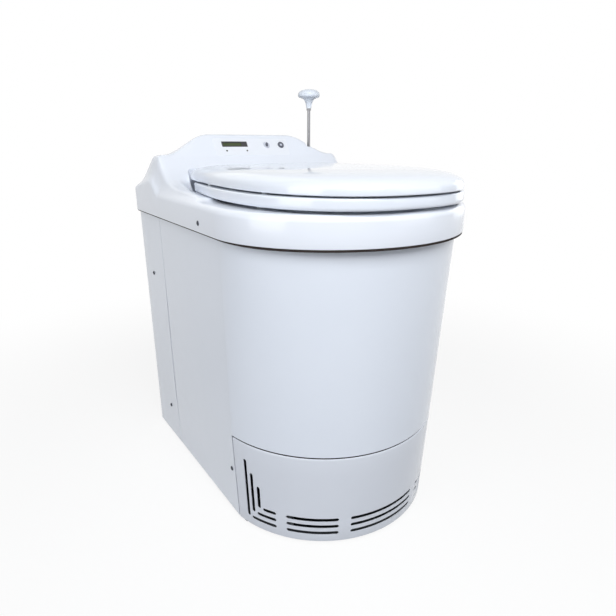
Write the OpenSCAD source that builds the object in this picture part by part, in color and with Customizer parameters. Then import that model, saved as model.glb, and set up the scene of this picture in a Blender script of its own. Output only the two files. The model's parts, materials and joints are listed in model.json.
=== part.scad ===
// Incinerating toilet: a moulded cabinet with a bowl, two geared bowl flaps that a plunger opens,
// an electric burning chamber over an ash pan, a catalyst and a fan to a rear exhaust spigot.
// Millimetres. +Z is up, the front is -Y, and the origin is on the floor under the middle.

/* [Cabinet] */
// Width of the rim moulding
rim_w = 390; // [384:1:398]
// Depth from the nose of the rim to the rear wall
cabinet_d = 545; // [540:1:570]
// Length of the rounded nose in plan
nose_len = 174.5; // [170:0.5:178]
// Height of the lower edge of the rim
rim_z = 453; // [446:1:465]
// Height of the rim moulding
rim_h = 40; // [36:1:44]
// Radius of the rim's upper edge
rim_edge_r = 9; // [7:0.5:11]
// Wall of the moulded top cover
top_t = 3; // [2.5:0.1:3.5]
// How far the cabinet's side stands inside the rim at the top
cabinet_inset = 5.5; // [5.2:0.1:8]
// How far the cabinet's nose stands inside the rim's nose at the top
nose_inset = 13.8; // [9:0.1:16]
// Width of the cabinet at the base, at the rear
base_rear_w = 373; // [369:1:375]
// Width of the cabinet at the base, where its nose begins
base_front_w = 355; // [352:1:360]
// Width at the top edge of the front cover, where the nose begins
cover_top_w = 369; // [365:1:372]
// How far the nose is drawn in at the top edge of the front cover
cover_nose_inset = 23.2; // [20:0.1:26]
// How far the nose is drawn in at the base
base_nose_inset = 30.5; // [27:0.5:33]
// Half angle of the nose's arc at the base
base_arc = 77.6; // [75:0.2:82]
// Sheet of the cabinet
sheet_t = 2; // [1.8:0.1:2.4]
// Sheet of the rear cover
rear_t = 1.5; // [1.2:0.1:1.6]
// How far the rear cover wraps round each side
rear_wrap = 118; // [100:1:130]
// Height of the cabinet's lower edge above the floor
foot_h = 4; // [3:0.5:8]
// Radius of a foot
foot_r = 11; // [9:0.5:14]

/* [Front cover] */
// Height of the front cover's top edge
cover_z = 152; // [146:1:156]
// Wall of the front cover
cover_t = 2.5; // [2:0.1:2.8]
// Gap between the front cover and the cabinet
cover_gap = 1.5; // [1:0.1:2.5]
// Height of each vent slot
slot_h = 5; // [4:0.1:6]
// Height of the lowest row of slots
slot_z = 19.5; // [17:0.5:22]
// Step from one row of slots to the next
slot_step = 12; // [10:0.5:13]
// How far the front cover pulls off
cover_travel = 320; // [260:5:360]

/* [Console] */
// Height of the console's shoulders above the rim
shoulder_h = 60; // [56:1:66]
// How far the middle of the console stands above its shoulders
crown_h = 35; // [30:1:40]
// Half width of the console's level top
crown_half = 80; // [76:1:90]
// Distance of the panel's foot in front of the rear wall
panel_back = 117.5; // [112:0.5:122]
// Height of the panel's foot above the rim
panel_foot_h = 57; // [54:1:60]
// Slope of the control panel
panel_tilt = 57; // [54:1:60]
// Length of the panel up its slope
panel_len = 40; // [36:1:44]
// Width of the display window
window_w = 51; // [46:1:56]
// Height of the display window
window_h = 11; // [10:0.5:14]
// Radius of a push button
button_r = 6.2; // [5:0.1:6.6]
// Travel of a push button
button_travel = 1.2; // [0.8:0.1:1.6]

/* [Seat and lid] */
// Gap between the rim and the seat
seat_gap = 4; // [3.6:0.1:6]
// Thickness of the seat ring
seat_t = 15; // [13:0.5:18]
// Half width of the seat ring
seat_half_w = 169; // [166:1:172]
// Half width of the hole in the seat
seat_hole_w = 106; // [100:1:110]
// Gap between the seat and the lid
lid_gap = 2; // [1.6:0.1:3]
// Half width of the lid
lid_half_w = 160; // [157:1:163]
// How far the lid's nose stands out past the rim's nose
lid_nose = 6; // [4:0.5:8]
// Height of the lid's dome
lid_h = 26; // [24:0.5:30]
// Wall of the lid
lid_t = 3; // [2.5:0.1:3.5]
// Radius of a hinge pin
hinge_pin_r = 3; // [2.5:0.1:3.5]
// Distance of each hinge from the middle
hinge_x = 72; // [66:1:80]

/* [Bowl and flaps] */
// Half width of the bowl at the rim
bowl_half_w = 118; // [114:1:121]
// Half length of the bowl at the rim
bowl_half_d = 132; // [128:1:134]
// Wall of the bowl
bowl_t = 2; // [1.5:0.1:2.5]
// Height of the bowl's throat
throat_z = 366; // [360:1:370]
// Half width of the throat
throat_half_w = 54; // [50:1:55]
// Half length of the throat
throat_half_d = 70; // [66:1:71]
// Radius of a flap shaft
shaft_r = 5; // [4:0.1:6]
// Distance of each flap shaft from the middle
shaft_x = 66; // [65:0.5:67]
// Module of the sector gears and the rack
gear_module = 2; // [2:0.5:2]
// Teeth on a whole gear of the sector's size
gear_teeth = 50; // [50:1:50]
// Angle through which each flap opens
flap_angle = 75; // [60:1:76]

/* [Plunger] */
// Distance of the plunger's rod from the middle
rod_x = 130; // [126:1:133]
// Radius of the plunger's rod
rod_r = 3; // [2.5:0.1:3.5]
// Height of the knob's top above the rim
knob_top_h = 178; // [176:1:190]
// Radius of the knob's disc
knob_r = 21; // [18:0.5:24]

/* [Burning chamber] */
// Radius of the chamber inside
chamber_r = 93; // [92:1:96]
// Height of the chamber's floor edge
chamber_z = 142; // [140:1:146]
// Height of the chamber inside
chamber_h = 124; // [120:1:124]
// Thickness of the insulation
insulation_t = 29; // [24:1:30]
// Turns of the heating element
coil_turns = 4; // [3:1:5]
// Radius of the heating element's tube
coil_tube_r = 3.5; // [3:0.1:4]
// Half width of the ash pan
pan_half_w = 100; // [95:1:104]
// Height of the ash pan
pan_h = 104; // [95:1:106]
// How far the ash pan slides out
pan_travel = 250; // [200:5:255]

/* [Exhaust] */
// Radius of the exhaust spigot
spigot_r = 55; // [52:0.5:56]
// How far the spigot stands out behind the rear wall
spigot_len = 40; // [35:1:50]
// Radius of the catalyst's core
catalyst_r = 42; // [40:1:43]
// Radius of the fan's impeller
impeller_r = 56; // [52:1:58]

/* [Hidden] */
$fn = 64;

// Clearances
touch = 0.3;
run_fit = 0.05;
eps = 1;

// Datums along the depth
nose_y = -(cabinet_d + lid_nose + spigot_len) / 2;
rim_front_y = nose_y + lid_nose;
back_y = rim_front_y + cabinet_d;
arc_y = rim_front_y + nose_len;
seam_y = back_y - rear_wrap;
panel_y = back_y - panel_back;
rod_y = panel_y + panel_len * cos(panel_tilt) - 3;
bowl_lead = 2.25;
bowl_y = (rim_front_y + panel_y) / 2 - bowl_lead;

// Datums along the height
rim_top = rim_z + rim_h;
deck_under = rim_top - top_t;
seat_z = rim_top + seat_gap;
seat_top = seat_z + seat_t;
lid_z = seat_top + lid_gap;
panel_foot_z = rim_top + panel_foot_h;
shoulder_z = rim_top + shoulder_h;
ridge_z = shoulder_z + crown_h;
knob_top = rim_top + knob_top_h;

function lerp(a, b, k) = a + (b - a) * k;
function mirror_ring(half) = concat(half, [for (i = [len(half) - 1:-1:0]) [-half[i][0], half[i][1]]]);

// A closed solid between rings of points that all run the same way round
module loft(rings) {
  n = len(rings[0]);
  levels = len(rings);
  walls = [for (i = [0:levels - 2], j = [0:n - 1], k = [0, 1])
    let (a = i * n + j, b = i * n + (j + 1) % n)
    k == 0 ? [a, a + n, b + n] : [a, b + n, b]];
  polyhedron(
    points = [for (ring = rings) each ring],
    faces = concat(
      [[for (j = [0:n - 1]) j]],
      [[for (j = [n - 1:-1:0]) (levels - 1) * n + j]],
      walls
    ),
    convexity = 6
  );
}

function raise(ring, z) = [for (p = ring) [p[0], p[1], z]];

module band(ring_out, ring_in, h) {
  linear_extrude(h, convexity = 6) difference() {
    polygon(ring_out);
    polygon(ring_in);
  }
}

module both_sides() {
  children();
  mirror([1, 0, 0]) children();
}

// A rod along Y from y0 to y1
module rod_y_axis(x, z, y0, y1, r) {
  translate([x, y0, z]) rotate([-90, 0, 0]) cylinder(h = y1 - y0, r = r);
}

// A rod along X from x0 to x1
module rod_x_axis(y, z, x0, x1, r) {
  translate([x0, y, z]) rotate([0, 90, 0]) cylinder(h = x1 - x0, r = r);
}

// Cabinet outline at height z, drawn in by s. Its nose is an arc between two corners.
nose_steps = 32;
function side_w(z) = lookup(z, [[foot_h, base_front_w / 2], [cover_z, cover_top_w / 2],
  [rim_z, rim_w / 2 - cabinet_inset - 0.5]]);
function rear_w(z) = lookup(z, [[foot_h, base_rear_w / 2], [rim_z, rim_w / 2 - cabinet_inset]]);
function nose_at(z) = rim_front_y + lookup(z, [[foot_h, base_nose_inset], [cover_z, cover_nose_inset],
  [rim_z, nose_inset]]);
function arc_at(z) = lookup(z, [[foot_h, base_arc], [cover_z, base_arc], [rim_z, 90]]);
function nose_point(z, s, t) = let (p = arc_at(z), w = side_w(z) - s, yf = nose_at(z) + s)
  [w / sin(p) * sin(t), arc_y + (yf - arc_y) * (cos(t) - cos(p)) / (1 - cos(p))];
function cabinet_ring(z, s) = concat(
  [[rear_w(z) - s, back_y - s], [s - rear_w(z), back_y - s]],
  [for (i = [0:nose_steps]) nose_point(z, s, arc_at(z) * (2 * i / nose_steps - 1))]
);
side_levels = [foot_h, cover_z / 2, cover_z, rim_z];
module cabinet_solid(s, z0, z1) {
  inner = [for (z = side_levels) if (z > z0 + 1 && z < z1 - 1) z];
  loft([for (z = concat([z0], inner, [z1])) raise(cabinet_ring(z, s), z)]);
}
module cabinet_band(s0, s1, z0, z1) {
  difference() {
    cabinet_solid(s0, z0, z1);
    cabinet_solid(s1, z0 - eps, z1 + eps);
  }
}

// Everything behind or in front of the plane y
module behind(y) {
  translate([-rim_w, y, -eps]) cube([2 * rim_w, cabinet_d, 900]);
}
module before(y) {
  translate([-rim_w, y - cabinet_d, -eps]) cube([2 * rim_w, cabinet_d, 900]);
}

// Screws: [y, z] on the left and right walls
rear_screw_places = [[back_y - 52.5, 339], [back_y - 77.5, 69]];
edge_screw = [arc_y + 12, 88];
rim_screw = [arc_y + 57, rim_z + 13];
screw_r = 2;
screw_head_r = 3.6;
screw_head_h = 1.8;
screw_seat = 0.25;
module side_screw_holes(r) {
  for (p = concat(rear_screw_places, [edge_screw, rim_screw])) {
    rod_x_axis(p[0], p[1], -rim_w, rim_w, r);
  }
}
module side_screw(y, z, x_out, len) {
  rod_x_axis(y, z, x_out - len, x_out, screw_r);
  translate([x_out, y, z]) rotate([0, 90, 0]) intersection() {
    cylinder(h = screw_head_h, r = screw_head_r);
    translate([0, 0, screw_head_h - screw_head_r * 1.6]) sphere(r = screw_head_r * 1.6);
  }
}
// Outer face of the cabinet's right or left wall at a place, on the triangles of its loft
function wall_x(y, z, right) = let (
  i = z < side_levels[1] ? 0 : z < side_levels[2] ? 1 : 2,
  z0 = side_levels[i], z1 = side_levels[i + 1],
  u = (y - arc_y) / (back_y - arc_y), v = (z - z0) / (z1 - z0),
  uv = right ? min(u, v) : max(0, u + v - 1))
  side_w(z0) + (rear_w(z0) - side_w(z0)) * u + (side_w(z1) - side_w(z0)) * v
    + (rear_w(z1) - rear_w(z0) - side_w(z1) + side_w(z0)) * uv;

flange_in = rear_t + touch;
flange_out = 2 * sheet_t;
shelf_in = cover_t + touch + sheet_t;

module cabinet() color([0.90, 0.92, 0.95]) difference() {
  union() {
    difference() {
      cabinet_band(0, sheet_t, foot_h, deck_under);
      behind(seam_y);
      translate([-rim_w, arc_y + cover_gap - cabinet_d, -eps])
        cube([2 * rim_w, cabinet_d, cover_z + cover_gap + eps]);
    }
    // Inner flange that the rear cover screws to
    difference() {
      cabinet_band(flange_in, flange_out, foot_h, deck_under);
      before(seam_y - 14);
      behind(back_y - 30);
    }
    // Shelf and band behind the front cover's top edge
    difference() {
      union() {
        cabinet_band(sheet_t / 2, shelf_in, cover_z + cover_gap, cover_z + cover_gap + sheet_t);
        cabinet_band(cover_t + touch, shelf_in, cover_z - 12, cover_z + cover_gap + sheet_t);
      }
      behind(arc_y - cover_gap - 2);
    }
  }
  side_screw_holes(screw_r + run_fit);
}

gland_x = 130;
gland_z = 60;
gland_r = 10;
box_z = 345;
box_x = -62;
module rear_cover() color([0.88, 0.90, 0.93]) difference() {
  cabinet_band(0, rear_t, foot_h, deck_under);
  before(seam_y + 0.8);
  translate([-rim_w, back_y - 3 * rear_corner_r, rim_z - touch]) cube([2 * rim_w, 20, rim_h]);
  side_screw_holes(screw_r + run_fit);
  rod_y_axis(box_x, box_z, back_y - 10, back_y + 10, spigot_r + touch);
  rod_y_axis(gland_x, gland_z, back_y - 10, back_y + 10, gland_r + touch);
  // Cooling air louvres
  for (i = [0:5]) {
    translate([40, back_y - 10, 150 + i * 14]) cube([100, 20, 5]);
  }
}

tray_gap = flange_out + touch;
module base_tray() color([0.55, 0.57, 0.60]) difference() {
  cabinet_solid(tray_gap, foot_h, foot_h + 20);
  cabinet_solid(tray_gap + sheet_t, foot_h + sheet_t, foot_h + 30);
  for (p = feet_places) {
    translate([p[0], p[1], 0]) cylinder(h = 40, r = foot_stud_r + touch);
  }
}

foot_stud_r = 4;
feet_places = [for (sx = [-1, 1], y = [arc_y - 8, back_y - 26]) [sx * (base_front_w / 2 - 16), y]];
module levelling_feet() color([0.15, 0.15, 0.16]) for (p = feet_places) {
  translate([p[0], p[1], 0]) {
    cylinder(h = foot_h, r = foot_r);
    cylinder(h = foot_h + sheet_t + 8, r = foot_stud_r);
  }
}

// Stand under the chamber, with the ash pan between its sides
stand_x = pan_half_w + 18;
pan_front_gap = 88.5;
pan_y0 = rim_front_y + pan_front_gap;
stand_y0 = pan_y0 + 18;
stand_y1 = bowl_y + chamber_r + insulation_t + 4;
floor_z = foot_h + sheet_t;
module chamber_stand() color([0.70, 0.72, 0.74]) {
  both_sides() translate([stand_x, stand_y0, floor_z]) {
    cube([sheet_t, stand_y1 - stand_y0, chamber_z - floor_z]);
    translate([-12, 0, chamber_z - floor_z - sheet_t]) cube([12, stand_y1 - stand_y0, sheet_t]);
    translate([sheet_t, 0, 0]) cube([12, stand_y1 - stand_y0, sheet_t]);
  }
  translate([-stand_x, stand_y1 - sheet_t, floor_z])
    cube([2 * stand_x, sheet_t, chamber_z - floor_z]);
}

// Rim outline in plan, drawn in by s
rear_corner_r = 5;
corner_steps = 4;
function rim_ring(s) = let (w = rim_w / 2 - s, yb = back_y - s, r = max(1, rear_corner_r - s))
  concat(
    [for (i = [0:corner_steps]) let (a = 90 * i / corner_steps)
      [w - r + r * cos(a), yb - r + r * sin(a)]],
    [for (i = [0:corner_steps]) let (a = 90 + 90 * i / corner_steps)
      [r - w + r * cos(a), yb - r + r * sin(a)]],
    [for (i = [0:nose_steps]) let (t = -90 + 180 * i / nose_steps)
      [w * sin(t), arc_y - (nose_len - s) * cos(t)]]
  );
edge_steps = 4;
module rim_solid() {
  rounding = [for (i = [0:edge_steps]) let (a = 90 * i / edge_steps)
    [rim_edge_r * (1 - cos(a)), rim_top - rim_edge_r * (1 - sin(a))]];
  loft(concat([raise(rim_ring(0), rim_z)], [for (r = rounding) raise(rim_ring(r[0]), r[1])]));
}

// Height of the console over the rim: a concave sweep up to the panel's foot, the panel, a ridge
// that falls to shoulders at each side, and a straight slope down to the rear wall
sweep_y = panel_y - 96;
ridge_y = panel_y + panel_len * cos(panel_tilt);
ridge_back = ridge_y + 8;
function bell(x) = 0.5 + 0.5 * cos(180 * min(1, max(0, (abs(x) - crown_half) / 90)));
function crest(x) = shoulder_z + crown_h * bell(x);
function front_rise(y) = y < panel_y
  ? rim_top + panel_foot_h * pow(max(0, (y - sweep_y) / (panel_y - sweep_y)), 2.2)
  : panel_foot_z + (y - panel_y) * tan(panel_tilt);
function rear_fall(x, y) = crest(x) - max(0, (y - ridge_back) / (back_y - ridge_back))
  * (crest(x) - rim_top - 3);
cheek_x = rim_w / 2;
function cheek(x) = lookup(cheek_x - abs(x),
  [[0, 0], [4, 0.06], [7, 0.22], [9.5, 0.5], [11.5, 0.8], [15, 0.95], [21, 1]]);
function edge_drop(x) = lookup(cheek_x - abs(x),
  [[0, -rim_edge_r], [1, -rim_edge_r * 0.6], [4, -rim_edge_r * 0.2], [rim_edge_r, 0]]);
// The outer edge of the rim rises beside the console and falls again towards the rear corner
function fin(y) = lookup(y - panel_y, [[-18, 0], [-12, 2], [2, 11], [15, 20], [27, 22], [62, 17],
  [panel_back, 6]]);
function console_height(x, y) = rim_top + edge_drop(x) + fin(y)
  + (min(front_rise(y), crest(x), rear_fall(x, y)) - rim_top - fin(y)) * cheek(x);

side_steps = [0.5, 4, 7, 9.5, 11.5, 15, 21, 30, 40];
half_x = concat([for (d = side_steps) cheek_x - d],
  [for (i = [0:6]) crown_half + (cheek_x - 54 - crown_half) * (6 - i) / 6], [40, 0]);
grid_x = concat([for (x = half_x) -x], [for (i = [len(half_x) - 2:-1:0]) half_x[i]]);
grid_y = concat([for (i = [0:7]) lerp(sweep_y, panel_y, pow(i / 7, 0.7))],
  [lerp(panel_y, ridge_y, 0.5), ridge_y - 1, ridge_y + 3, ridge_back],
  [for (i = [1:5]) lerp(ridge_back, back_y, i / 5)]);

// A closed solid under a height field, lowered by drop, with its sides drawn in by s
module height_solid(s, drop, z0) {
  nx = len(grid_x);
  ny = len(grid_y);
  kx = (cheek_x - s) / cheek_x;
  function px(i) = grid_x[i] * kx;
  function py(j) = min(grid_y[j], back_y - s);
  top = [for (j = [0:ny - 1], i = [0:nx - 1])
    [px(i), py(j), max(z0 + 0.5, console_height(grid_x[i], grid_y[j]) - drop)]];
  low = [for (j = [0:ny - 1], i = [0:nx - 1]) [px(i), py(j), z0]];
  m = nx * ny;
  function at(i, j) = j * nx + i;
  polyhedron(
    points = concat(top, low),
    faces = concat(
      [for (j = [0:ny - 2], i = [0:nx - 2], k = [0, 1]) k == 0
        ? [at(i, j), at(i, j + 1), at(i + 1, j + 1)] : [at(i, j), at(i + 1, j + 1), at(i + 1, j)]],
      [for (j = [0:ny - 2], i = [0:nx - 2], k = [0, 1]) k == 0
        ? [m + at(i, j), m + at(i + 1, j + 1), m + at(i, j + 1)]
        : [m + at(i, j), m + at(i + 1, j), m + at(i + 1, j + 1)]],
      [for (i = [0:nx - 2], k = [0, 1]) k == 0
        ? [at(i, 0), at(i + 1, 0), m + at(i + 1, 0)] : [at(i, 0), m + at(i + 1, 0), m + at(i, 0)]],
      [for (i = [0:nx - 2], k = [0, 1]) k == 0
        ? [at(i, ny - 1), m + at(i + 1, ny - 1), at(i + 1, ny - 1)]
        : [at(i, ny - 1), m + at(i, ny - 1), m + at(i + 1, ny - 1)]],
      [for (j = [0:ny - 2], k = [0, 1]) k == 0
        ? [at(0, j), m + at(0, j + 1), at(0, j + 1)] : [at(0, j), m + at(0, j), m + at(0, j + 1)]],
      [for (j = [0:ny - 2], k = [0, 1]) k == 0
        ? [at(nx - 1, j), at(nx - 1, j + 1), m + at(nx - 1, j + 1)]
        : [at(nx - 1, j), m + at(nx - 1, j + 1), m + at(nx - 1, j)]]
    ),
    convexity = 8
  );
}

// Seat and lid outlines: a squared ellipse in front, gently drawn in towards the rear
wide_y = nose_y + 206.5;
lid_back_y = panel_y - 23;
seat_front_y = nose_y + 4;
seat_back_y = panel_y - 50;
hinge_y = panel_y - 41.5;
hinge_z = lid_z;
plan_power = 2.4;
function front_half(y, half, front) = let (u = min(1, (wide_y - y) / (wide_y - front)))
  half * pow(1 - pow(u, plan_power), 1 / plan_power);
function rear_half(y, half, draw) = half * (1 - draw * pow((y - wide_y) / 204, 1.6));
function half_at(y, half, front, draw) = y < wide_y
  ? front_half(y, half, front) : rear_half(y, half, draw);
lid_draw = 0.131;
seat_draw = 0.2;
plan_steps = 22;
// Half outline from the nose to the rear, with a rounded rear corner of radius r
function plan_half(half, front, back, draw, r, k, yc) = let (
  nose = [for (i = [0:plan_steps]) let (a = 90 * i / plan_steps)
    [half * pow(sin(a), 2 / plan_power), wide_y - (wide_y - front) * pow(cos(a), 2 / plan_power)]],
  flank = [for (i = [1:6]) let (y = lerp(wide_y, back - r, i / 6)) [rear_half(y, half, draw), y]],
  cx = rear_half(back - r, half, draw) - r,
  corner = [for (i = [1:5]) let (a = 90 * i / 5) [cx + r * cos(a), back - r + r * sin(a)]])
  [for (p = concat(nose, flank, corner)) [p[0] * k, yc + (p[1] - yc) * k]];
function plan_ring(half, front, back, draw, r, k, yc) = let (
  h = plan_half(half, front, back, draw, r, k, yc), n = len(h))
  concat([for (i = [0:n - 1]) h[i]], [for (i = [n - 1:-1:1]) [-h[i][0], h[i][1]]]);
lid_mid_y = (nose_y + lid_back_y) / 2;
function lid_ring(k) = plan_ring(lid_half_w, nose_y, lid_back_y, lid_draw, 14, k, lid_mid_y);
function seat_ring_at(k) = plan_ring(seat_half_w, seat_front_y, seat_back_y, seat_draw, 16, k,
  (seat_front_y + seat_back_y) / 2);

// Space left round the seat and the lid in the console
recess_gap = 4;
recess_back = lid_back_y + 6;
function recess_half(y, s) = s + recess_gap + (y < seat_back_y
  ? max(half_at(y, seat_half_w, seat_front_y, seat_draw), half_at(y, lid_half_w, nose_y, lid_draw))
  : half_at(y, lid_half_w, nose_y, lid_draw));
module recess(s, z0) {
  ys = concat([for (i = [0:6]) lerp(sweep_y - 20, recess_back + s - 10, i / 6)]);
  right = concat([for (y = ys) [recess_half(y, s), y]],
    [[recess_half(recess_back, s) - 3, recess_back + s - 3],
     [recess_half(recess_back, s) - 10, recess_back + s]]);
  translate([0, 0, z0]) linear_extrude(200) polygon(mirror_ring(right));
}

function ellipse_ring(a, b, y) = [for (i = [0:47]) [a * cos(i * 7.5), y + b * sin(i * 7.5)]];

// Places on the control panel: u across, v up the slope, w out of its face
module on_panel(u, v, w) {
  translate([0, panel_y, panel_foot_z]) rotate([panel_tilt, 0, 0]) translate([u, v, w]) children();
}
window_u = -35.4;
window_v = 24.1;
button_us = [30.2, 61.3];
button_v = 22.3;
lamp_us = [-54, -13.5];
lamp_v = 10.8;
lamp_r = 1.5;
guide_top = knob_top - 105;
guide_flange_r = 7.5;
guide_barrel_r = 6;
spring_x = rod_x + 20;
spring_top = guide_top - 36;
panel_wall = (top_t + 1) * cos(panel_tilt);

module top_cover() color([0.95, 0.96, 0.98]) difference() {
  union() {
    difference() {
      union() {
        rim_solid();
        height_solid(0, 0, rim_top - rim_edge_r - 1);
      }
      loft([raise(rim_ring(top_t), rim_z - eps), raise(rim_ring(top_t), deck_under)]);
      difference() {
        height_solid(top_t + 1, top_t + 1, deck_under - 8);
        recess(top_t, deck_under - 20);
      }
      recess(0, rim_top);
    }
    // Deck kept under the hinges, boss for the plunger's guide and post for the return spring
    translate([rod_x, rod_y, guide_top - 14]) cylinder(h = 11, r = 11);
    translate([spring_x, rod_y, spring_top]) cylinder(h = crest(spring_x) - spring_top - 1, r = 4);
  }
  translate([0, 0, deck_under - eps]) linear_extrude(top_t + 2 * eps)
    polygon(ellipse_ring(bowl_half_w + bowl_t + 1, bowl_half_d + bowl_t + 1, bowl_y));
  translate([rod_x, rod_y, guide_top - 3]) cylinder(h = 40, r = 11.5);
  translate([rod_x, rod_y, guide_top - 60]) cylinder(h = 100, r = guide_barrel_r + run_fit);
  on_panel(window_u - window_w / 2, window_v - window_h / 2, -20) cube([window_w, window_h, 30]);
  for (u = button_us) {
    on_panel(u, button_v, -20) cylinder(h = 30, r = button_r + touch);
  }
  for (u = lamp_us) {
    on_panel(u, lamp_v, -20) cylinder(h = 30, r = lamp_r + touch);
  }
  side_screw_holes(screw_r + run_fit);
  for (sx = [-1, 1], dy = [-7, 7]) {
    translate([sx * hinge_x, hinge_y + dy, deck_under - eps]) cylinder(h = 10, r = screw_r + run_fit);
  }
}

// Vent slots follow the cover's arc: three rows in five groups, and three upright slots each side
slot_rows = [0, 1, 2];
middle_group = 19;
flank_group = [24.7, 49.4];
corner_start = 54.4;
corner_ends = [68.2, 64.9, 61.4];
upright_angles = [70.2, 66.9, 63.4];
upright_tops = [123.5, 103, 83];
module slot_between(t0, t1, row) {
  z = slot_z + row * slot_step;
  steps = max(4, ceil(abs(t1 - t0) / 4));
  ring = concat([for (i = [0:steps]) nose_point(z, -8, lerp(t0, t1, i / steps))],
    [for (i = [steps:-1:0]) nose_point(z, 12, lerp(t0, t1, i / steps))]);
  translate([0, 0, z - slot_h / 2]) linear_extrude(slot_h) polygon(ring);
}
module upright_slot(t, z0, z1) {
  p = nose_point((z0 + z1) / 2, 0, t);
  q = nose_point((z0 + z1) / 2, 12, t);
  translate([p[0], p[1], z0]) rotate([0, 0, atan2(q[1] - p[1], q[0] - p[0])])
    translate([-12, -slot_h / 2, 0]) cube([24, slot_h, z1 - z0]);
}
module front_cover() color([0.88, 0.90, 0.94]) difference() {
  union() {
    cabinet_band(0, cover_t, foot_h, cover_z);
    cabinet_band(-0.6, cover_t, cover_z - 3, cover_z);
  }
  behind(arc_y);
  for (row = slot_rows) {
    slot_between(-middle_group, middle_group, row);
    for (sx = [-1, 1]) {
      slot_between(sx * flank_group[0], sx * flank_group[1], row);
      slot_between(sx * corner_start, sx * corner_ends[row], row);
      upright_slot(sx * upright_angles[row], slot_z + row * slot_step, upright_tops[row]);
    }
  }
}

magnet_r = 5;
module cover_magnet() color([0.35, 0.35, 0.37])
  rod_y_axis(0, cover_z - 5, nose_at(cover_z) + shelf_in + 0.8, nose_at(cover_z) + shelf_in + 9,
    magnet_r);

// Bowl: a tapering funnel with a flange on the deck
function bowl_levels(s) = [
  [throat_z, throat_half_w + s, throat_half_d + s],
  [throat_z + 6, throat_half_w + 3 + s, throat_half_d + 5 + s],
  [throat_z + 30, throat_half_w + 27 + s, throat_half_d + 26 + s],
  [throat_z + 64, lerp(throat_half_w, bowl_half_w, 0.82) + s, lerp(throat_half_d, bowl_half_d, 0.82) + s],
  [rim_top - 16, bowl_half_w - 1 + s, bowl_half_d - 1 + s],
  [rim_top, bowl_half_w + s, bowl_half_d + s]
];
flange_w = 10;
flange_h = 1.5;
module bowl() color([0.80, 0.82, 0.84]) difference() {
  union() {
    loft([for (l = bowl_levels(bowl_t)) raise(ellipse_ring(l[1], l[2], bowl_y), l[0])]);
    translate([0, 0, rim_top]) linear_extrude(flange_h)
      polygon(ellipse_ring(bowl_half_w + flange_w, bowl_half_d + flange_w, bowl_y));
  }
  loft([for (l = bowl_levels(0)) raise(ellipse_ring(l[1], l[2], bowl_y),
    l[0] + (l[0] == throat_z ? -eps : l[0] == rim_top ? flange_h + eps : 0))]);
}

flap_top = throat_z - 4;
flap_t = 3;
seal_h = throat_z - flap_top - touch;
module bowl_seal() color([0.12, 0.12, 0.13]) translate([0, 0, flap_top + touch])
  band(ellipse_ring(throat_half_w + bowl_t, throat_half_d + bowl_t, bowl_y),
    ellipse_ring(throat_half_w - 1.5, throat_half_d - 1.5, bowl_y), seal_h);

shaft_z = flap_top - 10;
chute_x = shaft_x + 13;
chute_d = throat_half_d + 13;
chamber_top = chamber_z + chamber_h + 18;
chute_t = 1.5;
bush_r = shaft_r + 3;
module chute() color([0.66, 0.68, 0.70]) difference() {
  union() {
    translate([-chute_x, bowl_y - chute_d, chamber_top])
      cube([2 * chute_x, 2 * chute_d, throat_z + 4 - chamber_top]);
    translate([-chute_x - 8, bowl_y - chute_d - 8, chamber_top])
      cube([2 * chute_x + 16, 2 * chute_d + 16, chute_t]);
  }
  translate([chute_t - chute_x, bowl_y - chute_d + chute_t, chamber_top - eps])
    cube([2 * (chute_x - chute_t), 2 * (chute_d - chute_t), 200]);
  for (sx = [-1, 1]) {
    rod_y_axis(sx * shaft_x, shaft_z, bowl_y - chute_d - 10, bowl_y + chute_d + 10, bush_r);
  }
}

module shaft_bushes() color([0.72, 0.55, 0.30]) for (sx = [-1, 1], sy = [-1, 1]) {
  y = bowl_y + sy * (chute_d - chute_t / 2);
  difference() {
    rod_y_axis(sx * shaft_x, shaft_z, y - 4, y + 4, bush_r);
    rod_y_axis(sx * shaft_x, shaft_z, y - 5, y + 5, shaft_r + run_fit);
  }
}

// Each flap is a plate on a barrel that the shaft carries
flap_half_d = throat_half_d + 3;
flap_gap = 1.2;
module flap_right_part() difference() {
  union() {
    translate([flap_gap, bowl_y - flap_half_d, flap_top - flap_t])
      cube([shaft_x + 4 - flap_gap, 2 * flap_half_d, flap_t]);
    rod_y_axis(shaft_x, shaft_z, bowl_y - flap_half_d, bowl_y + flap_half_d, shaft_r + 2.5);
    for (y = [-flap_half_d + 6, -3, flap_half_d - 12]) {
      translate([20, bowl_y + y, flap_top - flap_t - 4]) cube([shaft_x - 22, 6, 5]);
    }
  }
  rod_y_axis(shaft_x, shaft_z, bowl_y - flap_half_d - 1, bowl_y + flap_half_d + 1, shaft_r);
}
module flap_right() color([0.62, 0.64, 0.66]) flap_right_part();
module flap_left() color([0.62, 0.64, 0.66]) mirror([1, 0, 0]) flap_right_part();

gear_t = 8;
gear_y = bowl_y + bowl_half_d + 12;
shaft_front = bowl_y - chute_d - 6;
module flap_shaft_right() color([0.75, 0.76, 0.78])
  rod_y_axis(shaft_x, shaft_z, shaft_front, gear_y + gear_t + 2, shaft_r);
module flap_shaft_left() color([0.75, 0.76, 0.78])
  rod_y_axis(-shaft_x, shaft_z, shaft_front, gear_y + gear_t + 2, shaft_r);

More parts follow.
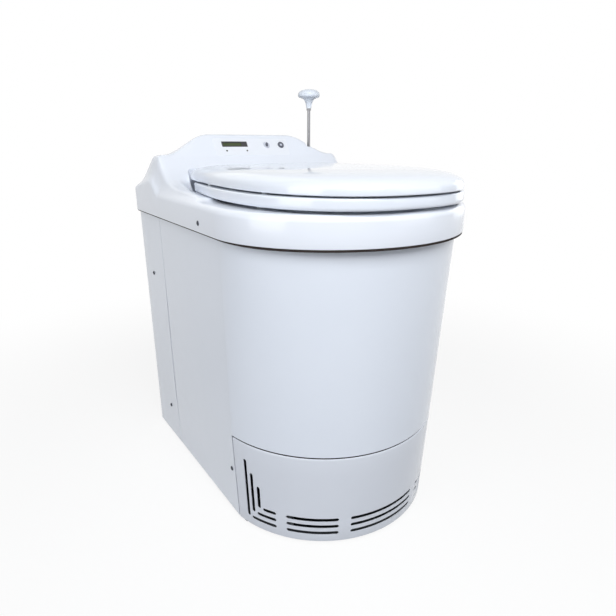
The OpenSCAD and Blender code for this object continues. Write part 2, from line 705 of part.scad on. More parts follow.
// Involute teeth on a sector, meshing with a straight rack: exactly one ratio over the travel
pressure = 20;
pitch_r = gear_module * gear_teeth / 2;
tip_r = pitch_r + gear_module;
root_r = pitch_r - 1.25 * gear_module;
base_r = pitch_r * cos(pressure);
backlash = 0.12;
function inv(a) = tan(a) - a * PI / 180;
function half_tooth(r) = 90 / gear_teeth - backlash / pitch_r * 180 / PI
  + (inv(pressure) - inv(acos(base_r / r))) * 180 / PI;
tooth_pitch = 360 / gear_teeth;
flank_rs = [root_r, lerp(root_r, tip_r, 0.25), pitch_r, lerp(root_r, tip_r, 0.78), tip_r];
tooth_count = ceil((flap_angle + 25) / tooth_pitch);
first_tooth = 180 + 1.5 * tooth_pitch;
function polar(r, a) = [r * cos(a), r * sin(a)];
function tooth_points(a) = concat([for (r = flank_rs) polar(r, a + half_tooth(r))],
  [for (i = [4:-1:0]) polar(flank_rs[i], a - half_tooth(flank_rs[i]))]);
module sector_profile() {
  difference() {
    union() {
      polygon(concat([[0, 0]], [for (i = [0:tooth_count - 1]) each tooth_points(first_tooth - i * tooth_pitch)]));
      circle(r = shaft_r + 7);
    }
    circle(r = shaft_r);
    translate(polar(pitch_r * 0.62, 140)) circle(r = 9);
  }
}
module sector_gear_right_part() {
  translate([shaft_x, gear_y + gear_t, shaft_z]) rotate([90, 0, 0])
    linear_extrude(gear_t) sector_profile();
}
module sector_gear_right() color([0.80, 0.78, 0.70]) sector_gear_right_part();
module sector_gear_left() color([0.80, 0.78, 0.70]) mirror([1, 0, 0]) sector_gear_right_part();

stroke = pitch_r * flap_angle * PI / 180;
rack_pitch = PI * gear_module;
rack_half = shaft_x - pitch_r;
rack_low = shaft_z - 1.5 * rack_pitch;
rack_teeth = ceil((stroke + 2.5 * rack_pitch) / rack_pitch);
rack_top = shaft_z + (rack_teeth + 0.5) * rack_pitch;
function rack_tooth(z) = let (h = rack_pitch / 4 - backlash, out = gear_module, in = 1.25 * gear_module)
  [[rack_half - in, z - h - in * tan(pressure)], [rack_half + out, z - h + out * tan(pressure)],
   [rack_half + out, z + h - out * tan(pressure)], [rack_half - in, z + h + in * tan(pressure)]];
function rack_side() = [for (i = [-1:rack_teeth - 1]) each rack_tooth(shaft_z + i * rack_pitch)];
module plunger_rack() color([0.78, 0.79, 0.81]) translate([0, gear_y + gear_t, 0]) rotate([90, 0, 0])
  linear_extrude(gear_t) polygon(concat([[0, rack_low]], [[rack_half - 2.5, rack_low]], rack_side(),
    [[rack_half - 2.5, rack_top], [2.5 - rack_half, rack_top]],
    [for (i = [len(rack_side()) - 1:-1:0]) [-rack_side()[i][0], rack_side()[i][1]]],
    [[2.5 - rack_half, rack_low]]));

arm_t = 8;
arm_half = 9;
arm_root = [0, gear_y + gear_t + 12];
arm_dir = ([rod_x, rod_y] - arm_root) / norm([rod_x, rod_y] - arm_root);
arm_side = [arm_dir[1], -arm_dir[0]] * arm_half;
module plunger_arm() color([0.70, 0.71, 0.73]) translate([0, 0, rack_top]) difference() {
  linear_extrude(arm_t) union() {
    translate([-rack_half + 2.5, gear_y]) square([2 * rack_half - 5, gear_t + 14]);
    polygon([arm_root + arm_side + arm_dir * 8, [rod_x, rod_y] + arm_side,
      [rod_x, rod_y] - arm_side, arm_root - arm_side]);
    translate([rod_x, rod_y]) circle(r = 13);
    translate([rod_x, rod_y - 5]) square([spring_x - rod_x + 5, 10]);
  }
  translate([rod_x, rod_y, -eps]) cylinder(h = arm_t + 2 * eps, r = rod_r);
}

knob_h = 34;
knob_low = knob_top - knob_h;
collar_h = 4;
module plunger_rod() color([0.75, 0.75, 0.77]) translate([rod_x, rod_y, 0]) {
  translate([0, 0, rack_top - 6]) cylinder(h = knob_top - 14 - rack_top + 6, r = rod_r);
  translate([0, 0, knob_low - collar_h]) cylinder(h = collar_h, r = rod_r + 1.4);
}

module plunger_knob() color([0.96, 0.97, 0.98]) translate([rod_x, rod_y, knob_low]) difference() {
  rotate_extrude() polygon([[0, 0], [4.6, 0], [5.2, 6], [7, 12], [10, 16.5], [15, 18.5],
    [knob_r - 2.5, 20], [knob_r - 0.4, 22.5], [knob_r, 25], [knob_r - 0.8, 28],
    [knob_r - 5, 31.3], [knob_r / 2, 33.2], [0, knob_h]]);
  translate([0, 0, -eps]) cylinder(h = 20 + eps, r = rod_r);
}

module rod_guide() color([0.95, 0.96, 0.98]) translate([rod_x, rod_y, guide_top]) difference() {
  union() {
    translate([0, 0, -3]) cylinder(h = 3, r1 = guide_flange_r, r2 = guide_flange_r - 2);
    translate([0, 0, -30]) cylinder(h = 27, r = guide_barrel_r);
  }
  translate([0, 0, -31]) cylinder(h = 40, r = rod_r + run_fit);
}

module rack_guide() color([0.30, 0.31, 0.33]) {
  y0 = bowl_y + chute_d;
  translate([-10, gear_y - touch - 5, shaft_z - 52]) cube([20, 5, 50]);
  translate([-3, y0, shaft_z - 48]) cube([6, gear_y - touch - 5 - y0, 36]);
}

// A wire wound into a helix: rings of sides round the centre line
function helix_ring(r, wire, z0, pitch, a, sides) = let (c = [r * cos(a), r * sin(a), z0 + pitch * a / 360])
  [for (k = [0:sides - 1]) let (b = -360 * k / sides)
    [c[0] + wire * cos(b) * cos(a), c[1] + wire * cos(b) * sin(a), c[2] + wire * sin(b)]];
module helix(r, wire, z0, z1, turns, per_turn, sides) {
  steps = turns * per_turn;
  loft([for (i = [0:steps])
    helix_ring(r, wire, z0, (z1 - z0) / turns, 360 * i / per_turn, sides)]);
}

spring_r = 5;
spring_wire = 0.8;
spring_turns = 16;
module return_spring() color([0.68, 0.69, 0.70]) translate([spring_x, rod_y, 0])
  helix(spring_r, spring_wire, rack_top + arm_t + spring_wire + touch, spring_top - spring_wire - touch,
    spring_turns, 12, 6);

// Seat ring with its hinge lugs
lug_r = 7;
lug_w = 6;
post_w = 12;
fit_gap = 0.5;
seat_hole_y = bowl_y - 3;
seat_hole_d = 132;
module seat_ring() color([0.96, 0.97, 0.98]) difference() {
  union() {
    difference() {
      loft([
        raise(seat_ring_at(0.975), seat_z), raise(seat_ring_at(0.992), seat_z + 1.5),
        raise(seat_ring_at(1), seat_z + 5), raise(seat_ring_at(0.997), seat_top - 4),
        raise(seat_ring_at(0.975), seat_top)
      ]);
      loft([
        raise(ellipse_ring(seat_hole_w + 1, seat_hole_d + 1, seat_hole_y), seat_z - eps),
        raise(ellipse_ring(seat_hole_w, seat_hole_d, seat_hole_y), seat_z + 5),
        raise(ellipse_ring(seat_hole_w + 2, seat_hole_d + 2, seat_hole_y), seat_top - 3),
        raise(ellipse_ring(seat_hole_w + 8, seat_hole_d + 8, seat_hole_y), seat_top + eps)
      ]);
    }
    both_sides() {
      x0 = hinge_x - post_w / 2 - fit_gap - lug_w;
      rod_x_axis(hinge_y, hinge_z, x0, x0 + lug_w, lug_r);
      translate([x0, seat_back_y - 8, seat_z + 3]) cube([lug_w, hinge_y - seat_back_y + 8, 9]);
      translate([x0, hinge_y - 5, seat_z + 3]) cube([lug_w, 10, 12]);
    }
  }
  rod_x_axis(hinge_y, hinge_z, -rim_w, rim_w, hinge_pin_r + run_fit);
}

bumper_r = 6;
module seat_bumpers() color([0.93, 0.94, 0.95])
  for (p = [[seat_half_w - 26, wide_y - 60], [seat_half_w - 30, wide_y + 90]], sx = [-1, 1]) {
    translate([sx * p[0], p[1], rim_top + touch]) cylinder(h = seat_gap - touch, r = bumper_r);
  }

// Lid: a shallow dome, hollow underneath
dome_power = 2.6;
lid_ks = [1, 0.996, 0.985, 0.965, 0.93, 0.87, 0.76, 0.58, 0.32];
function dome(k) = pow(1 - pow(k, dome_power * 2), 1 / dome_power);
lid_edge = 4;
function lid_height(k) = k >= 1 ? lid_edge : lid_edge + (lid_h - lid_edge) * dome(k);
lid_lip = 10;
module lid_solid(s, drop) {
  scale_in = 1 - s / lid_half_w;
  loft(concat([raise(lid_ring(0.994 * scale_in), lid_z - (s > 0 ? eps : 0))],
    [for (k = lid_ks) raise(lid_ring(k * scale_in), lid_z + lid_height(k) - drop)]));
}
module lid() color([0.97, 0.97, 0.99]) difference() {
  union() {
    difference() {
      lid_solid(0, 0);
      lid_solid(lid_lip, lid_t);
    }
    intersection() {
      both_sides() {
        x0 = hinge_x + post_w / 2 + fit_gap;
        rod_x_axis(hinge_y, hinge_z, x0, x0 + lug_w, lug_r);
        translate([x0, hinge_y - lug_r, hinge_z]) cube([lug_w, 2 * lug_r, lid_h]);
      }
      union() {
        lid_solid(0, 1);
        translate([-rim_w, hinge_y - 10, hinge_z - 10]) cube([2 * rim_w, 20, 12]);
      }
    }
  }
  rod_x_axis(hinge_y, hinge_z, -rim_w, rim_w, hinge_pin_r + run_fit);
  // Notches in the rear edge for the hinge posts and the seat's lugs
  both_sides() {
    x0 = hinge_x - post_w / 2 - 2 * fit_gap - lug_w;
    translate([x0, hinge_y - lug_r - 1.5, lid_z - eps])
      cube([post_w + lug_w + 2.4 * fit_gap, 60, lug_r + 6 + eps]);
  }
}

module lid_bumpers() color([0.93, 0.94, 0.95])
  for (p = [[lid_half_w - 14, wide_y - 75], [lid_half_w - 9.5, wide_y + 85]], sx = [-1, 1]) {
    translate([sx * p[0], p[1], seat_top + touch]) cylinder(h = lid_gap - touch, r = 3.5);
  }

module hinge_brackets() color([0.92, 0.93, 0.94]) both_sides() difference() {
  union() {
    translate([hinge_x - post_w / 2, hinge_y - 12, rim_top]) cube([post_w, 24, 2.5]);
    translate([hinge_x - post_w / 2, hinge_y - 5, rim_top]) cube([post_w, 10, hinge_z - rim_top]);
    rod_x_axis(hinge_y, hinge_z, hinge_x - post_w / 2, hinge_x + post_w / 2, lug_r - 0.5);
  }
  rod_x_axis(hinge_y, hinge_z, -rim_w, rim_w, hinge_pin_r);
  for (dy = [-8.5, 8.5]) {
    translate([hinge_x, hinge_y + dy, rim_top - eps]) cylinder(h = 10, r = screw_r + run_fit);
  }
}
module hinge_pins() color([0.78, 0.79, 0.80]) both_sides() {
  reach = post_w / 2 + fit_gap + lug_w + 1.5;
  rod_x_axis(hinge_y, hinge_z, hinge_x - reach, hinge_x + reach, hinge_pin_r);
}

// Ash pan on its runners
pan_z = floor_z + 24;
pan_y1 = stand_y1 - 10;
pan_t = 1.5;
weld_gap = 0.05;
// A folded trough with a plate welded to each end
module ash_pan() color([0.60, 0.61, 0.63]) translate([-pan_half_w, pan_y0, pan_z]) {
  translate([0, pan_t + weld_gap, 0]) difference() {
    cube([2 * pan_half_w, pan_y1 - pan_y0 - 2 * (pan_t + weld_gap), pan_h]);
    translate([pan_t, -eps, pan_t])
      cube([2 * (pan_half_w - pan_t), pan_y1 - pan_y0 + 2 * eps, pan_h]);
  }
  for (y = [0, pan_y1 - pan_y0 - pan_t]) {
    translate([0, y, 0]) cube([2 * pan_half_w, pan_t, pan_h]);
  }
}
module ash_pan_handle() color([0.20, 0.20, 0.21]) translate([0, pan_y0, pan_z + pan_h / 2]) difference() {
  translate([-50, -22, -8]) cube([100, 22, 16]);
  translate([-42, -16, -9]) cube([84, 17, 18]);
}
module pan_runners() color([0.66, 0.67, 0.69]) both_sides() {
  translate([pan_half_w - 8, stand_y0, pan_z - touch - 2]) cube([stand_x - pan_half_w + 8, pan_y1 - stand_y0, 2]);
  translate([pan_half_w + touch, stand_y0, pan_z - touch]) cube([2, pan_y1 - stand_y0, 12]);
}

// Chamber: liner, insulation and jacket share one axis
chamber_top_in = chamber_z + chamber_h;
liner_t = 2;
mouth_r = 72;
liner_r = chamber_r + liner_t;
jacket_r = liner_r + insulation_t + 2;
outlet_z = chamber_z + 73;
outlet_r = 35;
coil_r = chamber_r - coil_tube_r - 5.5;
coil_z0 = chamber_z + 23;
coil_z1 = chamber_z + 108;
lead_angle = 40;
lead_r = 5;
probe_angle = 140;
probe_r = 3;
probe_z = chamber_z + 90;
function at_chamber(r, a) = [r * cos(a), bowl_y + r * sin(a)];
module radial_rod(a, z, r0, r1, r) {
  translate([0, bowl_y, z]) rotate([0, 90, a]) translate([0, 0, r0]) cylinder(h = r1 - r0, r = r);
}
module chamber_holes(gap) {
  rod_y_axis(0, outlet_z, bowl_y + chamber_r - 20, bowl_y + jacket_r + 20, outlet_r + gap);
  for (z = [coil_z0, coil_z1]) {
    radial_rod(lead_angle, z, chamber_r - 15, jacket_r + 20, lead_r + gap);
  }
  radial_rod(probe_angle, probe_z, chamber_r - 15, jacket_r + 20, probe_r + gap);
}
module chamber_liner() color([0.62, 0.60, 0.58]) difference() {
  translate([0, bowl_y, chamber_z]) rotate_extrude($fn = 96) polygon([[chamber_r, 0],
    [liner_r, 0], [liner_r, chamber_h + liner_t], [mouth_r, chamber_h + liner_t],
    [mouth_r, chamber_h], [chamber_r, chamber_h]]);
  chamber_holes(touch);
}
module chamber_insulation() color([0.93, 0.90, 0.82]) difference() {
  translate([0, bowl_y, chamber_z]) rotate_extrude($fn = 96) polygon([[liner_r, liner_t],
    [liner_r + insulation_t, liner_t], [liner_r + insulation_t, chamber_h + 16],
    [mouth_r + 2, chamber_h + 16], [mouth_r + 2, chamber_h + liner_t], [liner_r, chamber_h + liner_t]]);
  chamber_holes(touch);
}
module chamber_jacket() color([0.74, 0.75, 0.77]) difference() {
  translate([0, bowl_y, chamber_z]) rotate_extrude($fn = 96) polygon([[liner_r, 0], [jacket_r, 0],
    [jacket_r, chamber_h + 18], [mouth_r, chamber_h + 18], [mouth_r, chamber_h + 16],
    [jacket_r - 2, chamber_h + 16], [jacket_r - 2, liner_t], [liner_r, liner_t]]);
  chamber_holes(touch);
}
module heating_element() color([0.32, 0.30, 0.30]) {
  translate([0, bowl_y, 0]) rotate([0, 0, lead_angle])
    helix(coil_r, coil_tube_r, coil_z0, coil_z1, coil_turns, 24, 6);
  for (z = [coil_z0, coil_z1]) {
    radial_rod(lead_angle, z, coil_r - 1, jacket_r + 14, lead_r);
  }
}
module element_terminals() color([0.92, 0.91, 0.88]) difference() {
  translate([0, bowl_y, 0]) rotate([0, 0, lead_angle])
    translate([jacket_r + touch, -14, coil_z0 - 14]) cube([18, 28, coil_z1 - coil_z0 + 28]);
  chamber_holes(0.1);
}
module temperature_probe() color([0.70, 0.68, 0.60]) {
  radial_rod(probe_angle, probe_z, chamber_r - 4, jacket_r + 12, probe_r);
  radial_rod(probe_angle, probe_z, jacket_r + touch, jacket_r + 8, probe_r + 4);
}

// Exhaust train: chamber outlet, catalyst, fan, outlet box and spigot
motor_r = 32;
motor_flange_r = 38;
motor_l = 48;
motor_gap = 24;
fan_d = 50;
fan_y1 = back_y - rear_t - motor_gap - motor_l;
fan_y0 = fan_y1 - fan_d;
catalyst_neck = 4;
train_y0 = bowl_y + jacket_r + 10;
catalyst_l = fan_y0 - catalyst_neck - train_y0;
scroll_t = 1.5;
module chamber_outlet() color([0.66, 0.66, 0.67]) difference() {
  rod_y_axis(0, outlet_z, bowl_y + chamber_r - 6, train_y0, outlet_r);
  rod_y_axis(0, outlet_z, bowl_y + chamber_r - 8, train_y0 + eps, outlet_r - 2);
}
module catalyst_housing() color([0.70, 0.70, 0.71])
  translate([0, train_y0, outlet_z]) rotate([-90, 0, 0]) rotate_extrude() polygon([
    [outlet_r - 2, 0], [catalyst_r + 2.3, 0], [catalyst_r + 2.3, catalyst_l], [outlet_r, catalyst_l],
    [outlet_r, catalyst_l + catalyst_neck], [outlet_r - 2, catalyst_l + catalyst_neck], [outlet_r - 2, catalyst_l - 2],
    [catalyst_r + 0.3, catalyst_l - 2], [catalyst_r + 0.3, 2], [outlet_r - 2, 2]]);
module catalyst_core() color([0.80, 0.78, 0.72]) difference() {
  rod_y_axis(0, outlet_z, train_y0 + 2 + touch, train_y0 + catalyst_l - 2 - touch, catalyst_r);
  for (i = [-3:3], j = [-3:3]) {
    if (norm([i, j]) * 11 + 5 < catalyst_r - 3) {
      rod_y_axis(i * 11, outlet_z + j * 11, train_y0, train_y0 + catalyst_l, 4);
    }
  }
}

// Scroll outline: a spiral that ends in an upward outlet on the left
scroll_gap = 6;
scroll_growth = 0.1;
function scroll_ring(s, z1) = concat(
  [for (t = [0:9:315]) let (r = impeller_r + scroll_gap + scroll_growth * t + s) polar(r, 135 - t)],
  [[-(impeller_r + scroll_gap + scroll_growth * 315 + s), z1], [-44 + s, z1]]);
scroll_out_z = chamber_top + 4;
module fan_housing() color([0.35, 0.36, 0.38]) difference() {
  translate([0, fan_y1, outlet_z]) rotate([90, 0, 0])
    linear_extrude(fan_d) polygon(scroll_ring(scroll_t, scroll_out_z - outlet_z));
  translate([0, fan_y1 - scroll_t, outlet_z]) rotate([90, 0, 0])
    linear_extrude(fan_d - 2 * scroll_t) polygon(scroll_ring(0, scroll_out_z - outlet_z + eps));
  rod_y_axis(0, outlet_z, fan_y0 - eps, fan_y0 + 5, outlet_r - 2);
  rod_y_axis(0, outlet_z, fan_y1 - 5, fan_y1 + eps, 9);
}
impeller_y0 = fan_y0 + 7;
impeller_d = 32;
blade_count = 24;
fan_shaft_r = 4;
module fan_impeller() color([0.22, 0.23, 0.25]) difference() {
  union() {
    rod_y_axis(0, outlet_z, impeller_y0 + impeller_d - 2, impeller_y0 + impeller_d, impeller_r);
    rod_y_axis(0, outlet_z, impeller_y0 + 8, impeller_y0 + impeller_d, 10);
    difference() {
      rod_y_axis(0, outlet_z, impeller_y0, impeller_y0 + 2, impeller_r);
      rod_y_axis(0, outlet_z, impeller_y0 - 1, impeller_y0 + 3, impeller_r - 8);
    }
    for (i = [0:blade_count - 1]) {
      translate([0, impeller_y0, outlet_z]) rotate([0, i * 360 / blade_count, 0])
        translate([impeller_r - 6, impeller_d / 2, 0]) rotate([0, 35, 0]) cube([11, impeller_d, 1.2], center = true);
    }
  }
  rod_y_axis(0, outlet_z, impeller_y0 - 1, impeller_y0 + impeller_d + 1, fan_shaft_r);
}
motor_y0 = fan_y1;
module fan_shaft() color([0.78, 0.79, 0.80])
  rod_y_axis(0, outlet_z, impeller_y0 + 6, motor_y0 + 22, fan_shaft_r);
module fan_motor() color([0.25, 0.26, 0.28]) difference() {
  union() {
    rod_y_axis(0, outlet_z, motor_y0, motor_y0 + motor_l, motor_r);
    rod_y_axis(0, outlet_z, motor_y0, motor_y0 + 3, motor_flange_r);
  }
  rod_y_axis(0, outlet_z, motor_y0 - eps, motor_y0 + 24, fan_shaft_r + run_fit);
}

box_half = spigot_r + 4;
box_y0 = fan_y0;
box_y1 = back_y - rear_t - 4;
module outlet_box() color([0.68, 0.69, 0.70]) difference() {
  translate([box_x - box_half, box_y0, scroll_out_z])
    cube([2 * box_half, box_y1 - box_y0, box_z + box_half - scroll_out_z]);
  translate([box_x - box_half + 1.5, box_y0 + 1.5, scroll_out_z + 1.5])
    cube([2 * box_half - 3, box_y1 - box_y0 - 3, box_z + box_half - scroll_out_z - 3]);
  rod_y_axis(box_x, box_z, box_y1 - 5, box_y1 + eps, spigot_r - 2);
  translate([-(impeller_r + scroll_gap + scroll_growth * 315), fan_y0 + scroll_t, scroll_out_z - eps])
    cube([impeller_r + scroll_gap + scroll_growth * 315 - 44, fan_d - 2 * scroll_t, 5]);
}
module exhaust_spigot() color([0.72, 0.73, 0.75]) difference() {
  union() {
    rod_y_axis(box_x, box_z, box_y1, back_y + spigot_len, spigot_r);
    rod_y_axis(box_x, box_z, back_y, back_y + 2, spigot_r + 11);
  }
  rod_y_axis(box_x, box_z, box_y1 - eps, back_y + spigot_len + eps, spigot_r - 2);
}

// Controls behind the sloping panel
board_w = -panel_wall - 14;
module control_board() color([0.10, 0.35, 0.18]) difference() {
  on_panel(-74, 2, board_w) cube([148, panel_len - 6, 1.6]);
  for (u = [-70, 70], v = [6, panel_len - 9]) {
    on_panel(u, v, board_w - 5) cylinder(h = 12, r = 1.6);
  }
}
module display_module() color([0.12, 0.13, 0.12]) {
  on_panel(window_u - window_w / 2 - 5, window_v - window_h / 2 - 2.5, -panel_wall - 6)
    cube([window_w + 10, window_h + 5, 6 - touch]);
  for (du = [-window_w / 2, window_w / 2 - 3]) {
    on_panel(window_u + du, window_v - 3, board_w + 1.6) cube([3, 6, -panel_wall - 6 - board_w - 1.6]);
  }
}
module display_window() color([0.35, 0.40, 0.25, 0.6])
  on_panel(window_u - window_w / 2 + 0.2, window_v - window_h / 2 + 0.2, -panel_wall)
    cube([window_w - 0.4, window_h - 0.4, panel_wall - 0.4]);
overlay_t = 0.4;
module panel_overlay() color([0.94, 0.95, 0.98]) difference() {
  on_panel(-76, 1, 0) cube([152, panel_len - 5, overlay_t]);
  on_panel(window_u - window_w / 2, window_v - window_h / 2, -2) cube([window_w, window_h, 6]);
  for (u = button_us) {
    on_panel(u, button_v, -2) cylinder(h = 6, r = button_r + touch);
  }
  for (u = lamp_us) {
    on_panel(u, lamp_v, -2) cylinder(h = 6, r = lamp_r + touch);
  }
}
button_out = 2;
module button_at(u) {
  on_panel(u, button_v, -panel_wall - 3) cylinder(h = panel_wall + 3 + button_out, r = button_r);
  on_panel(u, button_v, -panel_wall - 3) cylinder(h = 2, r = button_r + 2);
}
module button_left() color([0.25, 0.26, 0.30]) button_at(button_us[0]);
module button_right() color([0.25, 0.26, 0.30]) button_at(button_us[1]);
module button_switches() color([0.16, 0.16, 0.17]) {
  for (u = button_us) {
    on_panel(u - 4, button_v - 4, board_w + 1.6)
      cube([8, 8, -panel_wall - 3 - button_travel - touch - board_w - 1.6]);
  }
  for (u = lamp_us) {
    on_panel(u, lamp_v, board_w + 1.6) cylinder(h = -board_w - 1.6 + overlay_t, r = lamp_r);
  }
}

power_x = 92;
power_y = fan_y0 - 4;
power_w = 70;
power_h = 110;
power_t = 2;
power_gap = 40;
module power_box() color([0.30, 0.31, 0.33]) translate([power_x, power_y, floor_z]) difference() {
  cube([power_w, back_y - power_gap - power_y, power_h]);
  translate([power_t, power_t, power_t])
    cube([power_w - 2 * power_t, back_y - power_gap - 2 * power_t - power_y, power_h - 2 * power_t]);
}
module mains_inlet() color([0.12, 0.12, 0.13]) difference() {
  union() {
    rod_y_axis(gland_x, gland_z, back_y - rear_t - 12, back_y + 2, gland_r);
    translate([gland_x, back_y, gland_z]) rotate([-90, 0, 0]) cylinder(h = 12, r1 = 13, r2 = 10);
  }
  rod_y_axis(gland_x, gland_z, back_y - 30, back_y + 30, 4);
}

module side_screws() color([0.75, 0.76, 0.78]) for (p = concat(rear_screw_places, [edge_screw])) {
  side_screw(p[0], p[1], wall_x(p[0], p[1], true) + screw_seat, 7);
  mirror([1, 0, 0]) side_screw(p[0], p[1], wall_x(p[0], p[1], false) + screw_seat, 7);
}
module rim_screws() color([0.75, 0.76, 0.78]) both_sides() {
  side_screw(rim_screw[0], rim_screw[1], rim_w / 2, 12);
}

cabinet();
rear_cover();
base_tray();
levelling_feet();
chamber_stand();
top_cover();
front_cover();
cover_magnet();
bowl();
bowl_seal();
chute();
shaft_bushes();
flap_left();
flap_right();
flap_shaft_left();
flap_shaft_right();
sector_gear_left();
sector_gear_right();
plunger_rack();
plunger_arm();
plunger_rod();
plunger_knob();
rod_guide();
rack_guide();
return_spring();
seat_ring();
seat_bumpers();
lid();
lid_bumpers();
hinge_brackets();
hinge_pins();
ash_pan();
ash_pan_handle();
pan_runners();
chamber_liner();
chamber_insulation();
chamber_jacket();
heating_element();
element_terminals();
temperature_probe();
chamber_outlet();
catalyst_housing();
catalyst_core();
fan_housing();
fan_impeller();
fan_shaft();
fan_motor();
outlet_box();
exhaust_spigot();
control_board();
display_module();
display_window();
panel_overlay();
button_left();
button_right();
button_switches();
power_box();
mains_inlet();
side_screws();
rim_screws();
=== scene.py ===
"""Incinerating toilet: the visible mouldings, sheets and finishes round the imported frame."""

import json
import math

import bmesh
import bpy
import numpy as np
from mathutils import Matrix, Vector


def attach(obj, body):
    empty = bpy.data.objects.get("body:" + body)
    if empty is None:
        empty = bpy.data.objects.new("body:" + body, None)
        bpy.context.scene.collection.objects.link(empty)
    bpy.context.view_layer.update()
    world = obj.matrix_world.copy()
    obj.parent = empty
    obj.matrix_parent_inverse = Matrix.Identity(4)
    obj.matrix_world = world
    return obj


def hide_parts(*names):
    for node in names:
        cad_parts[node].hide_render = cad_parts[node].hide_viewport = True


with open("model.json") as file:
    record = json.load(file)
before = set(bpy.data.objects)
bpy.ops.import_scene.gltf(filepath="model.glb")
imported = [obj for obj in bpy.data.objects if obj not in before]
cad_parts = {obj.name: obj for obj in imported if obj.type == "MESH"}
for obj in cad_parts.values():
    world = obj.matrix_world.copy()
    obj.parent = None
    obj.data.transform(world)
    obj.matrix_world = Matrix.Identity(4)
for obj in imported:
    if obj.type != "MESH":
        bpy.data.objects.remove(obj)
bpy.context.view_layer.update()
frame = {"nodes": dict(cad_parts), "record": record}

MM = 0.001

# Datums in millimetres, as in the part's source
RIM_HALF = 195.0
RIM_Z = 453.0
RIM_TOP = 493.0
RIM_EDGE = 9.0
NOSE_LEN = 174.5
NOSE_Y = -295.5
RIM_FRONT_Y = -289.5
BACK_Y = 255.5
ARC_Y = -115.0
SEAM_Y = 137.5
FOOT_H = 4.0
COVER_Z = 152.0
COVER_ARC = 77.6  # degrees to each side of the nose
SHEET_TOP = 489.8
PANEL_Y = 138.0
PANEL_TILT = math.radians(57.0)
PANEL_FOOT_Z = 550.0
RIDGE_Y = PANEL_Y + 40.0 * math.cos(PANEL_TILT)
RIDGE_BACK = RIDGE_Y + 8.0
SHOULDER_Z = 553.0
CROWN_H = 35.0
CROWN_HALF = 80.0
SWEEP_Y = PANEL_Y - 96.0
ARM_Y = PANEL_Y - 200.0
WIDE_Y = NOSE_Y + 206.5
LID_HALF = 160.0
LID_DRAW = 0.131
LID_BACK_Y = PANEL_Y - 23.0
LID_Z = 514.0
LID_H = 26.0
SEAT_HALF = 169.0
SEAT_DRAW = 0.2
SEAT_FRONT_Y = NOSE_Y + 4.0
SEAT_BACK_Y = PANEL_Y - 50.0
SEAT_Z = 497.0
HINGE_Y = PANEL_Y - 41.5
BOWL_Y = ARC_Y + 37.0
ROD_X = 130.0
ROD_Y = RIDGE_Y - 3.0
KNOB_TOP = 671.0
GUIDE_TOP = 566.0


# ---------------------------------------- curves and outlines


def lerp(a, b, k):
    return a + (b - a) * k


def ease(k):
    """From 0 to 1 with a soft start and a soft end."""
    k = min(1.0, max(0.0, k))
    return k * k * (3 - 2 * k)


def spread(a, b, count):
    """count + 1 even steps from a to b."""
    return [lerp(a, b, i / count) for i in range(count + 1)]


def smooth_curve(places, values):
    """A curve through the places with no overshoot between them."""
    xs, ys = np.array(places, float), np.array(values, float)
    h, rise = np.diff(xs), np.diff(ys) / np.diff(xs)
    slopes = np.zeros(len(xs))
    for i in range(1, len(xs) - 1):
        if rise[i - 1] * rise[i] > 0:
            w0, w1 = 2 * h[i] + h[i - 1], h[i] + 2 * h[i - 1]
            slopes[i] = (w0 + w1) / (w0 / rise[i - 1] + w1 / rise[i])
    slopes[0], slopes[-1] = rise[0], rise[-1]

    def at(x):
        x = min(max(x, xs[0]), xs[-1])
        i = min(int(np.searchsorted(xs, x, side="right")) - 1, len(xs) - 2)
        t = (x - xs[i]) / h[i]
        return float(
            (1 + 2 * t) * (1 - t) ** 2 * ys[i] + t * (1 - t) ** 2 * h[i] * slopes[i]
            + t * t * (3 - 2 * t) * ys[i + 1] + t * t * (t - 1) * h[i] * slopes[i + 1]
        )

    return at


def soft_min(a, b, radius):
    """The lower of a and b, with their crease rounded off."""
    h = max(radius - abs(a - b), 0.0) / radius
    return min(a, b) - h * h * radius / 4


def arc(u, v, r, start, end, steps):
    """Places along an arc about u, v between two angles in degrees, with both its ends."""
    return [(u + r * math.cos(math.radians(a)), v + r * math.sin(math.radians(a))) for a in spread(start, end, steps)]


def circle(u, v, r, steps=48):
    return arc(u, v, r, 0, 360, steps)[:-1]


def rounded_box(u, v, w, h, r, steps=5):
    """A rectangle round a middle place, with rounded corners."""
    points = []
    for sx, sy, start in ((1, 1, 0), (-1, 1, 90), (-1, -1, 180), (1, -1, 270)):
        points += arc(u + sx * (w / 2 - r), v + sy * (h / 2 - r), r, start, start + 90, steps)
    return points


# ---------------------------------------- mesh helpers


def new_object(name, data):
    made = bpy.data.objects.new(name, data)
    bpy.context.scene.collection.objects.link(made)
    return made


def shade(piece, sharp=32):
    """Smooth shading with sharp edges above an angle in degrees."""
    mesh = piece.data
    mesh.polygons.foreach_set("use_smooth", [True] * len(mesh.polygons))
    mesh.set_sharp_from_angle(angle=math.radians(sharp))
    mesh.update()


def solid(name, points, faces, sharp=32):
    """A mesh object from points in millimetres, closed, facing outwards and smooth between sharp edges."""
    mesh = bpy.data.meshes.new(name)
    mesh.from_pydata([[c * MM for c in p] for p in points], [], faces)
    work = bmesh.new()
    work.from_mesh(mesh)
    bmesh.ops.remove_doubles(work, verts=work.verts, dist=1e-6)
    bmesh.ops.recalc_face_normals(work, faces=work.faces)
    work.to_mesh(mesh)
    work.free()
    piece = new_object(name, mesh)
    shade(piece, sharp)
    return piece


def quads(rows, columns, start=0, round_rows=False, round_columns=False, flip=False):
    """The faces of a grid of points given row by row, joined round either way."""
    def at(i, j):
        return start + i % rows * columns + j % columns
    faces = [(at(i, j), at(i, j + 1), at(i + 1, j + 1), at(i + 1, j))
             for i in range(rows - 1 + round_rows) for j in range(columns - 1 + round_columns)]
    return [face[:1] + face[:0:-1] for face in faces] if flip else faces


